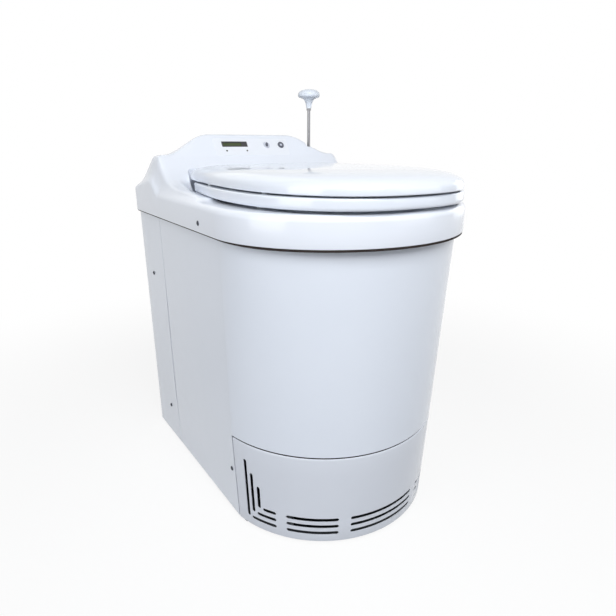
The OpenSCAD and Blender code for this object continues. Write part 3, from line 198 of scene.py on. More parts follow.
def loft(name, rings, sharp=32, closed=False):
    """Rings of equal count joined into a skin with flat ends, or, when closed, the last joined to the first."""
    n, m = len(rings[0]), len(rings)
    faces = quads(m, n, round_rows=closed, round_columns=True)
    if not closed:
        faces += [tuple(range(n)), tuple(range(n * (m - 1), n * m))]
    return solid(name, [p for ring in rings for p in ring], faces, sharp)


def prism(name, outline, z0, z1):
    return loft(name, [[(x, y, z) for x, y in outline] for z in (z0, z1)])


def box(name, low, high):
    return prism(name, [(low[0], low[1]), (high[0], low[1]), (high[0], high[1]), (low[0], high[1])], low[2], high[2])


def x_rod(name, x0, x1, y, z, r):
    """A rod along the width."""
    return loft(name, [[(x, u, v) for u, v in circle(y, z, r)] for x in (x0, x1)])


def turned(name, profile, centre, steps=64, closed=False):
    """A turned shape about the upright axis, from a profile of radius and height."""
    x, y, z0 = centre
    rings = [[(u, v, z0 + z) for u, v in circle(x, y, max(r, 0.001), steps)] for r, z in profile]
    return loft(name, rings, closed=closed)


def apply_modifier(piece, kind, **values):
    """Adds a modifier, sets it and bakes it into the mesh."""
    made = piece.modifiers.new(kind.lower(), kind)
    for key, value in values.items():
        setattr(made, key, value)
    graph = bpy.context.evaluated_depsgraph_get()
    mesh = bpy.data.meshes.new_from_object(piece.evaluated_get(graph))
    piece.modifiers.clear()
    old, piece.data = piece.data, mesh
    bpy.data.meshes.remove(old)


def cut(piece, *tools, operation="DIFFERENCE", sharp=32):
    """Cuts the tools out of a piece, or joins them to it, and removes them."""
    for tool in tools:
        apply_modifier(piece, "BOOLEAN", object=tool, operation=operation, solver="EXACT")
        mesh = tool.data
        bpy.data.objects.remove(tool)
        bpy.data.meshes.remove(mesh)
    shade(piece, sharp)
    return piece


def round_edges(piece, width, sharp=32):
    """Breaks the sharp edges of a piece by a small radius in millimetres."""
    made = piece.modifiers.new("edge_break", "BEVEL")
    made.width = width * MM
    made.segments = 2
    made.limit_method = "ANGLE"
    made.angle_limit = math.radians(sharp)
    made.harden_normals = True


# ---------------------------------------- node helpers

FLOAT, COLOUR, VECTOR = "NodeSocketFloat", "NodeSocketColor", "NodeSocketVector"
WHITE = (1.0, 1.0, 1.0, 1.0)


def srgb(colour):
    """A colour given as it is seen, 0 to 255, in the renderer's linear values."""
    def linear(c):
        c /= 255
        return c / 12.92 if c <= 0.04045 else ((c + 0.055) / 1.055) ** 2.4
    return (*map(linear, colour), 1.0)


def add(tree, kind, sockets=(), **values):
    """A node with its properties set, and its sockets linked or given a value."""
    node = tree.nodes.new("ShaderNode" + kind)
    for key, value in values.items():
        setattr(node, key, value)
    for socket, source in dict(sockets).items():
        if isinstance(source, bpy.types.NodeSocket):
            tree.links.new(source, node.inputs[socket])
        else:
            node.inputs[socket].default_value = source
    return node


def maths(tree, operation, *terms):
    return add(tree, "Math", enumerate(terms), operation=operation).outputs[0]


def noise(tree, place, **values):
    return add(tree, "TexNoise", {"Vector": place, **values}).outputs["Fac"]


def mix_colours(tree, share, first, second):
    return add(tree, "Mix", {"Factor": share, 6: first, 7: second}, data_type="RGBA").outputs[2]


def shader_group(name, inputs, outputs):
    """An empty shader node group: its inputs with their usual values, and its outputs."""
    group = bpy.data.node_groups.new(name, "ShaderNodeTree")
    for socket, kind, value in inputs:
        group.interface.new_socket(name=socket, in_out="INPUT", socket_type=kind).default_value = value
    for socket, kind in outputs:
        group.interface.new_socket(name=socket, in_out="OUTPUT", socket_type=kind)
    return group, group.nodes.new("NodeGroupInput").outputs, group.nodes.new("NodeGroupOutput").inputs


def make_tone_group():
    """Slow drift and fine mottling of a colour, and of a roughness."""
    group, enter, leave = shader_group(
        "surface_tone",
        [("Colour", COLOUR, (0.8, 0.8, 0.8, 1)), ("Deep Colour", COLOUR, (0.7, 0.7, 0.7, 1)), ("Scale", FLOAT, 8.0),
         ("Amount", FLOAT, 0.3), ("Roughness", FLOAT, 0.3), ("Roughness Spread", FLOAT, 0.05)],
        [("Colour", COLOUR), ("Roughness", FLOAT)])
    place = add(group, "TexCoord").outputs["Object"]
    drift = noise(group, place, Scale=enter["Scale"], Detail=5.0, Roughness=0.6)
    share = maths(group, "MULTIPLY", drift, enter["Amount"])
    level = maths(group, "SUBTRACT", noise(group, place, Scale=55.0, Detail=3.0), 0.5)
    rough = maths(group, "MULTIPLY_ADD", level, enter["Roughness Spread"], enter["Roughness"])
    group.links.new(mix_colours(group, share, enter["Colour"], enter["Deep Colour"]), leave["Colour"])
    group.links.new(rough, leave["Roughness"])
    return group


def make_peel_group():
    """The slight waviness of sprayed enamel and of moulded plastic."""
    group, enter, leave = shader_group(
        "surface_waviness", [("Scale", FLOAT, 300.0), ("Coarse Scale", FLOAT, 14.0), ("Coarse Share", FLOAT, 1.0)],
        [("Height", FLOAT)])
    place = add(group, "TexCoord").outputs["Object"]
    fine = noise(group, place, Scale=enter["Scale"], Detail=2.0)
    slow = noise(group, place, Scale=enter["Coarse Scale"], Detail=1.0)
    group.links.new(maths(group, "MULTIPLY_ADD", slow, enter["Coarse Share"], fine), leave["Height"])
    return group


def make_grain_group():
    """Drawn grain, long in one direction, as on brushed or rolled metal."""
    group, enter, leave = shader_group(
        "drawn_grain",
        [("Stretch", VECTOR, (6.0, 300.0, 300.0)), ("Colour", COLOUR, (0.6, 0.6, 0.6, 1)),
         ("Dark Colour", COLOUR, (0.4, 0.4, 0.4, 1)), ("Roughness", FLOAT, 0.3)],
        [("Colour", COLOUR), ("Roughness", FLOAT), ("Height", FLOAT)])
    place = add(group, "TexCoord").outputs["Object"]
    drawn = add(group, "VectorMath", {0: place, 1: enter["Stretch"]}, operation="MULTIPLY").outputs[0]
    lines = noise(group, drawn, Scale=1.0, Detail=6.0, Roughness=0.7)
    share = maths(group, "MULTIPLY", lines, noise(group, place, Scale=22.0, Detail=4.0))
    group.links.new(mix_colours(group, share, enter["Colour"], enter["Dark Colour"]), leave["Colour"])
    group.links.new(maths(group, "MULTIPLY_ADD", lines, 0.12, enter["Roughness"]), leave["Roughness"])
    group.links.new(lines, leave["Height"])
    return group


TONE = make_tone_group()
PEEL = make_peel_group()
GRAIN = make_grain_group()


# ---------------------------------------- materials


def new_material(name):
    made = bpy.data.materials.new(name)
    made.use_nodes = True
    return made, made.node_tree, made.node_tree.nodes["Principled BSDF"].inputs


def place_group(tree, group, *values):
    """A group in a material, with values for its inputs in their order."""
    node = tree.nodes.new("ShaderNodeGroup")
    node.node_tree = group
    for socket, value in zip(node.inputs, values):
        socket.default_value = value
    return node.outputs


def skin(tree, shader, tone, **values):
    """Gives a shader its colour and its roughness from a group, and its other values."""
    tree.links.new(tone["Colour"], shader["Base Color"])
    tree.links.new(tone["Roughness"], shader["Roughness"])
    for key, value in values.items():
        shader[key.replace("_", " ")].default_value = value


def relief(tree, shader, height, strength, depth):
    bump = add(tree, "Bump", {"Height": height, "Strength": strength, "Distance": depth})
    tree.links.new(bump.outputs["Normal"], shader["Normal"])


def coloured(name, colour, deep, roughness, uneven, scale, amount, peel, strength, depth=0.0005, coat=0.0,
             specular=0.5):
    """A painted, moulded or rubber finish: toned colour, uneven gloss and a wavy skin."""
    made, tree, shader = new_material(name)
    tone = place_group(tree, TONE, srgb(colour), srgb(deep), scale, amount, roughness, uneven)
    skin(tree, shader, tone, Coat_Weight=coat, Coat_Roughness=0.06, Specular_IOR_Level=specular)
    relief(tree, shader, place_group(tree, PEEL, *peel)["Height"], strength, depth)
    return made


def metal(name, colour, dark, roughness, stretch, strength=0.12):
    """A bare metal with a drawn grain."""
    made, tree, shader = new_material(name)
    grain = place_group(tree, GRAIN, stretch, srgb(colour), srgb(dark), roughness)
    skin(tree, shader, grain, Metallic=1.0)
    relief(tree, shader, grain["Height"], strength, 0.0002)
    return made


def display_glass():
    """Dark olive liquid-crystal glass under a clear face."""
    made, tree, shader = new_material("display_glass")
    tone = place_group(tree, TONE, srgb((70, 84, 46)), srgb((50, 62, 36)), 120.0, 0.9, 0.2, 0.04)
    skin(tree, shader, tone, Coat_Weight=0.3, Coat_Roughness=0.04, Specular_IOR_Level=0.3)
    return made


# The arguments of coloured(), by slot or by the name used in OWN_FINISH and PIECES
COLOURED = {
    "white_sheet": ("white_enamel", (235, 240, 249), (225, 231, 242), 0.22, 0.08, 5, 0.6, (420, 9, 3), 0.04,
                    0.0006, 0.3),
    "white_moulding": ("white_moulding", (240, 244, 252), (233, 238, 249), 0.2, 0.06, 6, 0.5, (200, 12, 2), 0.015,
                       0.0004, 0.3),
    "white_seat": ("white_seat_plastic", (236, 241, 250), (230, 236, 248), 0.1, 0.04, 6, 0.5, (200, 10, 2), 0.012,
                   0.0004, 0.35),
    "white_rubber": ("white_rubber", (232, 234, 236), (214, 216, 218), 0.5, 0.1, 40, 0.7, (900, 60, 1), 0.1),
    "black_rubber": ("black_rubber", (44, 44, 46), (28, 28, 30), 0.6, 0.15, 60, 0.8, (1200, 80, 1), 0.15),
    "seal_rubber": ("seal_rubber", (50, 50, 53), (34, 34, 36), 0.55, 0.1, 50, 0.8, (1000, 70, 1), 0.12),
    "black_plastic": ("black_plastic", (52, 52, 55), (40, 40, 43), 0.42, 0.08, 30, 0.6, (1600, 90, 1), 0.2),
    "fibre": ("ceramic_fibre", (238, 232, 218), (214, 204, 184), 0.95, 0.05, 90, 0.9, (700, 120, 2), 0.7,
              0.002, 0, 0.1),
    "ceramic_block": ("ceramic_block", (232, 228, 214), (212, 206, 190), 0.7, 0.1, 60, 0.7, (900, 70, 1), 0.2),
    "motor": ("satin_black_paint", (62, 64, 67), (48, 50, 53), 0.35, 0.1, 30, 0.6, (700, 50, 1), 0.1),
    "board": ("circuit_board", (44, 110, 66), (26, 82, 46), 0.35, 0.1, 120, 0.9, (900, 200, 3), 0.2),
    "overlay": ("panel_film", (240, 243, 249), (234, 238, 246), 0.3, 0.06, 20, 0.5, (1800, 60, 0.5), 0.05),
    "button": ("button_plastic", (92, 96, 108), (74, 78, 90), 0.32, 0.08, 60, 0.6, (1500, 90, 0.5), 0.1),
    # The front cover's enamel: a little darker and less blue than the cabinet's
    "cover": ("cover_enamel", (226, 230, 238), (215, 219, 229), 0.24, 0.08, 5, 0.6, (420, 9, 3), 0.04, 0.0006, 0.3),
    "knob": ("white_knob", (232, 238, 247), (224, 231, 242), 0.42, 0.04, 20, 0.5, (60, 20, 1), 0.004, 0.0003),
    "pale_button": ("pale_button", (214, 217, 228), (200, 204, 216), 0.32, 0.06, 60, 0.6, (900, 90, 0.5), 0.05),
    # Painted shade: the dark finish of the strips that draw the shadow lines under the rim and over the front cover
    "foam": ("dark_foam", (62, 54, 52), (44, 39, 38), 0.85, 0.1, 200, 0.8, (2500, 300, 2), 0.4, 0.0005, 0, 0.1),
    # Painted shade: the base tray made near black, standing for the shade seen through the vent slots
    "tray": ("black_enamelled_tray", (38, 42, 46), (26, 29, 33), 0.5, 0.1, 30, 0.7, (600, 40, 1), 0.05),
}
# The arguments of metal(), named in the same way
METALS = {
    "zinc_sheet": ("zinc_plated_sheet", (196, 199, 203), (150, 154, 160), 0.3, (30, 30, 90)),
    "stainless": ("satin_stainless", (205, 206, 207), (160, 161, 163), 0.22, (10, 320, 320)),
    "liner_steel": ("heat_tinted_steel", (150, 132, 118), (82, 78, 92), 0.4, (14, 14, 60)),
    "bright_steel": ("bright_steel", (214, 216, 219), (178, 181, 186), 0.12, (420, 420, 30), 0.05),
    "bronze": ("turned_bronze", (206, 168, 112), (150, 112, 66), 0.3, (300, 40, 300)),
    "element": ("sheathed_element", (98, 92, 92), (58, 54, 56), 0.45, (60, 60, 60)),
    "screw": ("passivated_screw", (72, 74, 82), (40, 42, 48), 0.3, (200, 200, 200)),
    "rod": ("polished_rod", (146, 146, 149), (100, 99, 101), 0.26, (420, 420, 30), 0.03),
}
FINISHES = {key: coloured(*row) for key, row in COLOURED.items()}
FINISHES.update({key: metal(*row) for key, row in METALS.items()})
FINISHES["display"] = display_glass()

# Nodes whose finish differs from their slot's. The base tray's near-black finish is painted shade, seen through the
# vent slots.
OWN_FINISH = {"base_tray": "tray", "side_screws": "screw", "rim_screws": "screw", "plunger_rod": "rod"}
SLOT_OF = {row["node"]: row["material_slot"] for row in frame["record"]["subparts"]}


def dress(piece, finish):
    piece.data.materials.clear()
    piece.data.materials.append(finish)


def fit(piece, body, slot, nodes=(), finish=None):
    """Gives a new piece its body and its finish, its own or its slot's, and hides the CAD nodes that it stands for."""
    dress(piece, FINISHES[finish or slot])
    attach(piece, body)
    if nodes:
        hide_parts(*nodes)


for node_name, node in frame["nodes"].items():
    for holder in node.material_slots:
        holder.material = FINISHES[OWN_FINISH.get(node_name, SLOT_OF[node_name])]
    shade(node, 30)


# ---------------------------------------- camera

# The photograph's side and, as fitted to it, its focal length and the middle of its view, all in pixels
PHOTO_SIDE = 616
FOCAL = 497.7
VIEW_MIDDLE = (300.7, 309.2)
SENSOR = 36.0
CAMERA_PLACE = (-0.4471, -0.7196, 0.5696)
CAMERA_YAW = 32.5
CAMERA_PITCH = 18.3


def make_camera():
    """The photograph's view: from the left of the nose and from above."""
    data = bpy.data.cameras.new("photo_camera")
    data.sensor_width = SENSOR
    data.lens = FOCAL / PHOTO_SIDE * SENSOR
    data.shift_x = (PHOTO_SIDE / 2 - VIEW_MIDDLE[0]) / PHOTO_SIDE
    data.shift_y = (VIEW_MIDDLE[1] - PHOTO_SIDE / 2) / PHOTO_SIDE
    data.clip_start, data.clip_end = 0.02, 40.0
    camera = new_object("photo_camera", data)
    camera.location = CAMERA_PLACE
    camera.rotation_euler = (math.radians(90 - CAMERA_PITCH), 0, -math.radians(CAMERA_YAW))
    bpy.context.scene.camera = camera


make_camera()


# ---------------------------------------- cabinet and covers

NOSE_STEPS = 96
SIDE_STEPS = 8
EDGE_Z = COVER_Z + 2.2
# Half widths of the sides and the nose's distance from the rim's front, at the base, the cover's top and the rim
SIDE_HALVES = (177.5, 184.5, 189.0)
NOSE_SETBACKS = (30.5, 23.2, 13.8)
REAR_HALVES = (186.5, 189.5)
# Vent slots: angles from the nose in degrees, and for each row the end of its corner slot and its upright slot
SLOT_H = 5.7
SLOT_Z = 19.5
SLOT_STEP = 12.0
MIDDLE_SLOT = 19
SIDE_SLOT = (24.7, 49.4)
CORNER_SLOT = 54.4
SLOT_ROWS = ((68.2, 70.2, 123.5), (64.9, 66.9, 103), (61.4, 63.4, 83))
# Rear sheet: round holes as x, z, radius and steps, and the louvres
SPIGOT_HOLE = (-62, 345, 55.3, 96)
GLAND_HOLE = (130, 60, 10.3, 48)
LOUVRE_R = 2.5
LOUVRE_ENDS = (40, 140)
LOUVRE_ZS = spread(152.5, 222.5, 5)


def between(z, low, mid, high):
    """A width that runs straight from the base to the cover's top edge, and on to the rim."""
    if z < COVER_Z:
        return lerp(low, mid, (z - FOOT_H) / (COVER_Z - FOOT_H))
    return lerp(mid, high, (z - COVER_Z) / (RIM_Z - COVER_Z))


def side_w(z):
    return between(z, *SIDE_HALVES)


def rear_w(z):
    return lerp(*REAR_HALVES, (z - FOOT_H) / (RIM_Z - FOOT_H))


def wall_w(z, y):
    """Half the cabinet's width beside the place y, at the height z."""
    return lerp(side_w(z), rear_w(z), (y - ARC_Y) / (BACK_Y - ARC_Y))


def nose_point(z, s, t):
    """A place on the cabinet's nose at height z, drawn in by s, at the angle t from its middle."""
    p, w = nose_arc(z), side_w(z) - s
    front = RIM_FRONT_Y + between(z, *NOSE_SETBACKS) + s
    return (w / math.sin(p) * math.sin(t),
            ARC_Y + (front - ARC_Y) * (math.cos(t) - math.cos(p)) / (1 - math.cos(p)), z)


def nose_arc(z):
    return math.radians(between(z, COVER_ARC, COVER_ARC, 90.0))


def wall_column(sign, y):
    """An upright line on the side wall."""
    return lambda z: (sign * wall_w(z, y), y, z)


def nose_column(i):
    return lambda z: nose_point(z, 0, nose_arc(z) * (2 * i / NOSE_STEPS - 1))


def shell(name, columns, heights, missing, thickness, edge):
    """A folded sheet: a grid of columns up the heights, thickened inwards, its edges broken."""
    n = len(heights)
    faces = [face for face in quads(len(columns), n, flip=True) if not missing(*divmod(face[0], n))]
    piece = solid(name, [column(z) for column in columns for z in heights], faces)
    # Normals have to point outwards before the sheet is thickened
    if sum(p.center.xy.dot(p.normal.xy) for p in piece.data.polygons) < 0:
        piece.data.flip_normals()
    apply_modifier(piece, "SOLIDIFY", thickness=thickness * MM, offset=-1.0, use_even_offset=True)
    shade(piece)
    if edge:
        round_edges(piece, edge)
    return piece


def nose_strip(name, section, reach):
    """A strip bent round the nose to an angle each way, from a section of inset and height."""
    n, m = NOSE_STEPS + 1, len(section)
    turns = spread(-math.radians(reach), math.radians(reach), NOSE_STEPS)
    faces = quads(m, n, round_rows=True) + [tuple(range(0, m * n, n)), tuple(range(n - 1, m * n, n))]
    return solid(name, [nose_point(z, s, t) for s, z in section for t in turns], faces)


def make_cabinet():
    """The body sheet: both sides and the nose above the front cover."""
    side = spread(SEAM_Y, ARC_Y, SIDE_STEPS)[:-1] + [ARC_Y + 1.5]
    columns = [wall_column(-1, y) for y in side] + [nose_column(i) for i in range(NOSE_STEPS + 1)]
    columns += [wall_column(1, y) for y in reversed(side)]
    low_steps = 6
    heights = spread(FOOT_H, EDGE_Z, low_steps) + spread(EDGE_Z, SHEET_TOP, 14)[1:]

    def missing(i, j):
        return j < low_steps and SIDE_STEPS <= i < SIDE_STEPS + NOSE_STEPS + 2

    return shell("cabinet_sheet", columns, heights, missing, 2.0, 0.5)


def make_shelf():
    """The folded shelf behind the front cover's top edge."""
    section = [(1.2, EDGE_Z), (1.2, EDGE_Z + 2), (5, EDGE_Z + 2), (5, COVER_Z - 12), (3, COVER_Z - 12), (3, EDGE_Z)]
    return nose_strip("cabinet_shelf", section, 0.985 * COVER_ARC)


def make_cover_shadow_strip():
    """A dark strip behind the gap over the front cover's top edge: painted shade that draws the shadow line under the
    cabinet sheet's edge.
    """
    section = [(2.4, COVER_Z - 7), (2.4, EDGE_Z - 0.3), (3.1, EDGE_Z - 0.3), (3.1, COVER_Z - 7)]
    return nose_strip("cover_shadow_strip", section, 0.98 * COVER_ARC)


def rim_stations(back, side_steps, nose_steps):
    """Places along the rim from the right rear to the left rear: an angle and where its arc has its middle."""
    right, quarter = spread(back, ARC_Y, side_steps), math.pi / 2
    nose = spread(quarter, -quarter, nose_steps)[1:-1]
    return [(quarter, y) for y in right] + [(t, ARC_Y) for t in nose] + [(-quarter, y) for y in reversed(right)]


def rim_point(t, y, s, z):
    """A place on the rim's outline drawn in by s, at the height z."""
    return (RIM_HALF - s) * math.sin(t), y - (NOSE_LEN - s) * math.cos(t), z


def shadow_strip_section(k):
    """Across the strip of painted shade, from its outer edge to the cabinet's wall, which lies further in at the nose.
    The strip hangs lower round the nose, where the painted shadow line is drawn thicker.
    """
    inner = lerp(6.4, 14.4, k)
    low = RIM_Z - 1.4 - 1.7 * min(1, 2.2 * k)
    return (1.1, low), (0.7, low + 0.4), (0.9, RIM_Z + 0.6), (inner, RIM_Z + 0.6), (inner, low)


def make_rim_shadow_strip():
    """A dark strip between the underside of the rim and the cabinet: painted shade that draws the shadow line under the
    rim.
    """
    return loft("rim_shadow_strip", [[rim_point(t, y, s, z) for s, z in shadow_strip_section(math.cos(t))]
                             for t, y in rim_stations(BACK_Y - 6, 12, 96)])


def make_seam_flange(name, side):
    """The joggled flange that the rear cover screws to, just inside the seam."""
    section = [(5, SEAM_Y - 14), (5, SEAM_Y + 30), (7, SEAM_Y + 30), (7, SEAM_Y - 14)]
    return loft(name, [[(side * (wall_w(z, y) - s), y, z) for s, y in section] for z in spread(FOOT_H, SHEET_TOP, 6)])


def round_slot(z, t0, t1):
    """A cutter for a slot that runs along the cover between two angles in degrees, with round ends."""
    r = SLOT_H / 2
    length = math.dist(nose_point(z, 0, math.radians(t0))[:2], nose_point(z, 0, math.radians(t1))[:2])
    end = r / length
    stops = [(end * (1 - math.cos(math.pi / 2 * k / 4)), math.sin(math.pi / 2 * k / 4)) for k in range(5)]
    stops += [(u, 1.0) for u in spread(end, 1 - end, max(6, int(abs(t1 - t0) / 1.5)))[1:-1]]
    stops += [(1 - u, h) for u, h in reversed(stops[:5])]
    rings = []
    for u, h in stops:
        h = max(h, 0.02) * r
        outer, inner = [nose_point(z, s, math.radians(lerp(t0, t1, u)))[:2] for s in (-8, 12)]
        rings.append([(*outer, z - h), (*outer, z + h), (*inner, z + h), (*inner, z - h)])
    return loft("slot_cutter", rings)


def upright_slot(t, z0, z1):
    """A cutter for an upright slot with round ends."""
    start, inside = [Vector((*nose_point((z0 + z1) / 2, s, math.radians(t))[:2], 0)) for s in (0, 12)]
    ahead = (inside - start).normalized()
    across = Vector((-ahead.y, ahead.x, 0))
    r = SLOT_H / 2
    outline = arc(0, z1 - r, r, 0, 180, 8) + arc(0, z0 + r, r, 180, 360, 8)
    return loft("slot_cutter", [[tuple(start + ahead * reach + across * u + Vector((0, 0, z))) for u, z in outline]
                                for reach in (-12, 12)])


def make_front_cover():
    """The lower cover with its lip and its three rows of vent slots."""
    sheet, bends = 0.9, [FOOT_H + 0.6, 30, 60, 90, 120, COVER_Z - 3.2]
    section = [(0, z) for z in bends]
    section += [(0.2, COVER_Z - 1.8), (0.7, COVER_Z - 0.9), (1.4, COVER_Z - 0.5), (2.0, COVER_Z - 0.9),
                (2.2, COVER_Z - 1.8), (1.8, COVER_Z - 2.6)]
    section += [(sheet, z) for z in reversed(bends)] + [(0.7, FOOT_H), (0.2, FOOT_H)]
    piece = nose_strip("front_cover_panel", section, 77.25)
    for row, (corner_end, upright, top) in enumerate(SLOT_ROWS):
        z = SLOT_Z + row * SLOT_STEP
        cutters = [round_slot(z, -MIDDLE_SLOT, MIDDLE_SLOT)]
        for sign in (-1, 1):
            cutters.append(round_slot(z, sign * SIDE_SLOT[0], sign * SIDE_SLOT[1]))
            cutters.append(round_slot(z, sign * CORNER_SLOT, sign * corner_end))
            cutters.append(upright_slot(sign * upright, z, top))
        cut(piece, *cutters)
    return piece


# How far the seam beside the rear cover gapes, by height
gape = smooth_curve([0, 70, 100, 130, 220, 300, 335, 420, 500], [0, 0, 0.8, 1, 1, 0.85, 0.15, 0, 0])


def make_rear_cover():
    """The rear sheet with its folded corners, louvres and the holes for the spigot and the gland."""
    bend, low_steps, back_steps = 4.0, 12, 12
    heights = spread(FOOT_H, RIM_Z - 0.4, low_steps) + spread(RIM_Z - 0.4, SHEET_TOP, 3)[1:]

    def edge(sign):
        def at(z):
            y = SEAM_Y + 0.5 + 2.6 * gape(z)
            return sign * wall_w(z, y), y, z
        return at

    def corner(sign, angle):
        return lambda z: (sign * (rear_w(z) - bend * (1 - math.cos(angle))), BACK_Y - bend * (1 - math.sin(angle)), z)

    def back(k):
        return lambda z: (lerp(bend - rear_w(z), rear_w(z) - bend, k), BACK_Y, z)

    def side(sign):
        walls = [wall_column(sign, y) for y in spread(SEAM_Y + 3.4, BACK_Y - bend, 5)]
        return [edge(sign)] + walls + [corner(sign, math.pi / 2 * k / 5) for k in range(1, 6)]

    columns = side(-1) + [back(k / back_steps) for k in range(1, back_steps)] + side(1)[::-1]

    def missing(i, j):
        return j >= low_steps and 5 <= i < len(columns) - 6

    piece = shell("rear_cover_sheet", columns, heights, missing, 1.5, 0)
    outlines = [circle(*SPIGOT_HOLE), circle(*GLAND_HOLE)]
    x0, x1, r = *LOUVRE_ENDS, LOUVRE_R
    outlines += [arc(x1 - r, z, r, 90, -90, 8) + arc(x0 + r, z, r, 270, 90, 8) for z in LOUVRE_ZS]
    return cut(piece, *[loft("back_cutter", [[(x, y, z) for x, z in outline] for y in (BACK_Y - 10, BACK_Y + 10)])
                        for outline in outlines])


# ---------------------------------------- top cover

LIP_H = 3.4
MOULDING = 3.0
CONSOLE_WALL = 4.0
BOWL_HOLE = (121, 135)
GUIDE_HOLE_R = 11.5
ROD_HOLE_R = 6.05
# The plan of the seat and the lid: a rounded front, and how they narrow behind their widest place
PLAN_LEN = 204
PLAN_POWER = 2.4
DRAW_POWER = 1.6
# Places on the control panel: display window with its width and height, buttons and lamps
WINDOW = (-35.4, 24.1, 51.0, 11.0)
BUTTONS = (30.2, 61.3)
BUTTON_V = 22.3
BUTTON_R = 6.2
LAMPS = (-54.0, -13.5)
LAMP_V = 10.8
LAMP_R = 1.8

cheek_curve = smooth_curve([0, 4, 7, 9.5, 11.5, 15, 21], [0, 0.06, 0.22, 0.5, 0.8, 0.95, 1])
fin_curve = smooth_curve([-18, -12, 2, 15, 27, 62, 117.5], [0, 2, 11, 20, 22, 17, 6])
arm_curve = smooth_curve([-62, -50, -38, -27, -15, 5, 45, 75, 95, 108, 120, 138],
                         [0, 0.4, 1.7, 5.0, 7.2, 8.8, 11, 14.5, 20, 27.5, 37, 57])


def crest(x):
    """Height of the console's ridge: a crown that falls to the shoulders."""
    turn = min(1.0, max(0.0, (abs(x) - CROWN_HALF) / 90))
    return SHOULDER_Z + CROWN_H * (0.5 + 0.5 * math.cos(math.pi * turn))


def rear_half(y, half, draw):
    """Half the width of the seat or the lid behind its widest place."""
    return half * (1 - draw * ((y - WIDE_Y) / PLAN_LEN) ** DRAW_POWER)


def recess_half(y):
    """Half the width of the space for the seat and the lid."""
    lid = rear_half(y, LID_HALF, LID_DRAW)
    seat = rear_half(y, SEAT_HALF, SEAT_DRAW) if y < SEAT_BACK_Y else 0
    return 0.6 + 1.4 * min(1, max(0, (y - 50) / 25)) + max(lid, seat)


def arm_height(x, y):
    """An arm rises from a low lip at the seat's edge to its crest near the rim's edge."""
    full = arm_curve(y)
    lip = min(full, LIP_H)
    k = ease((abs(x) - recess_half(max(y, WIDE_Y))) / 18)
    return lip + (full - lip) * lerp(k, 1.0, ease((y - 80) / 30))


def edge_drop(d):
    """How far the rim's rounded edge lies under its top, at a distance from its side."""
    d = min(d, RIM_EDGE)
    return math.sqrt(max(0.0, RIM_EDGE**2 - (RIM_EDGE - d) ** 2)) - RIM_EDGE


def console_height(x, y):
    """Height of the console's skin over a place in plan."""
    d = RIM_HALF - abs(x)
    top = crest(x)
    fall = top - max(0.0, (y - RIDGE_BACK) / (BACK_Y - RIDGE_BACK)) * (top - RIM_TOP - 3)
    if y < PANEL_Y:
        rise = RIM_TOP + arm_height(x, y)
    else:
        rise = PANEL_FOOT_Z + (y - PANEL_Y) * math.tan(PANEL_TILT)
    ridge = soft_min(rise, top, 5.0)
    body = soft_min(ridge, fall, 4.0) if y > RIDGE_Y + 1 else min(ridge, fall)
    fin = fin_curve(y - PANEL_Y)
    height = RIM_TOP + edge_drop(d) + fin + (body - RIM_TOP - fin) * cheek_curve(d)
    from_back = BACK_Y - y
    if from_back < 3:
        height -= 3 - math.sqrt(9 - (3 - from_back) ** 2)
    return height


def narrowing(y, corner=5.0):
    """The share of the width that is left near the rear wall, with its rounded corners."""
    e = BACK_Y - y
    return 1.0 if e >= corner else (RIM_HALF - corner + math.sqrt(corner**2 - (corner - e) ** 2)) / RIM_HALF


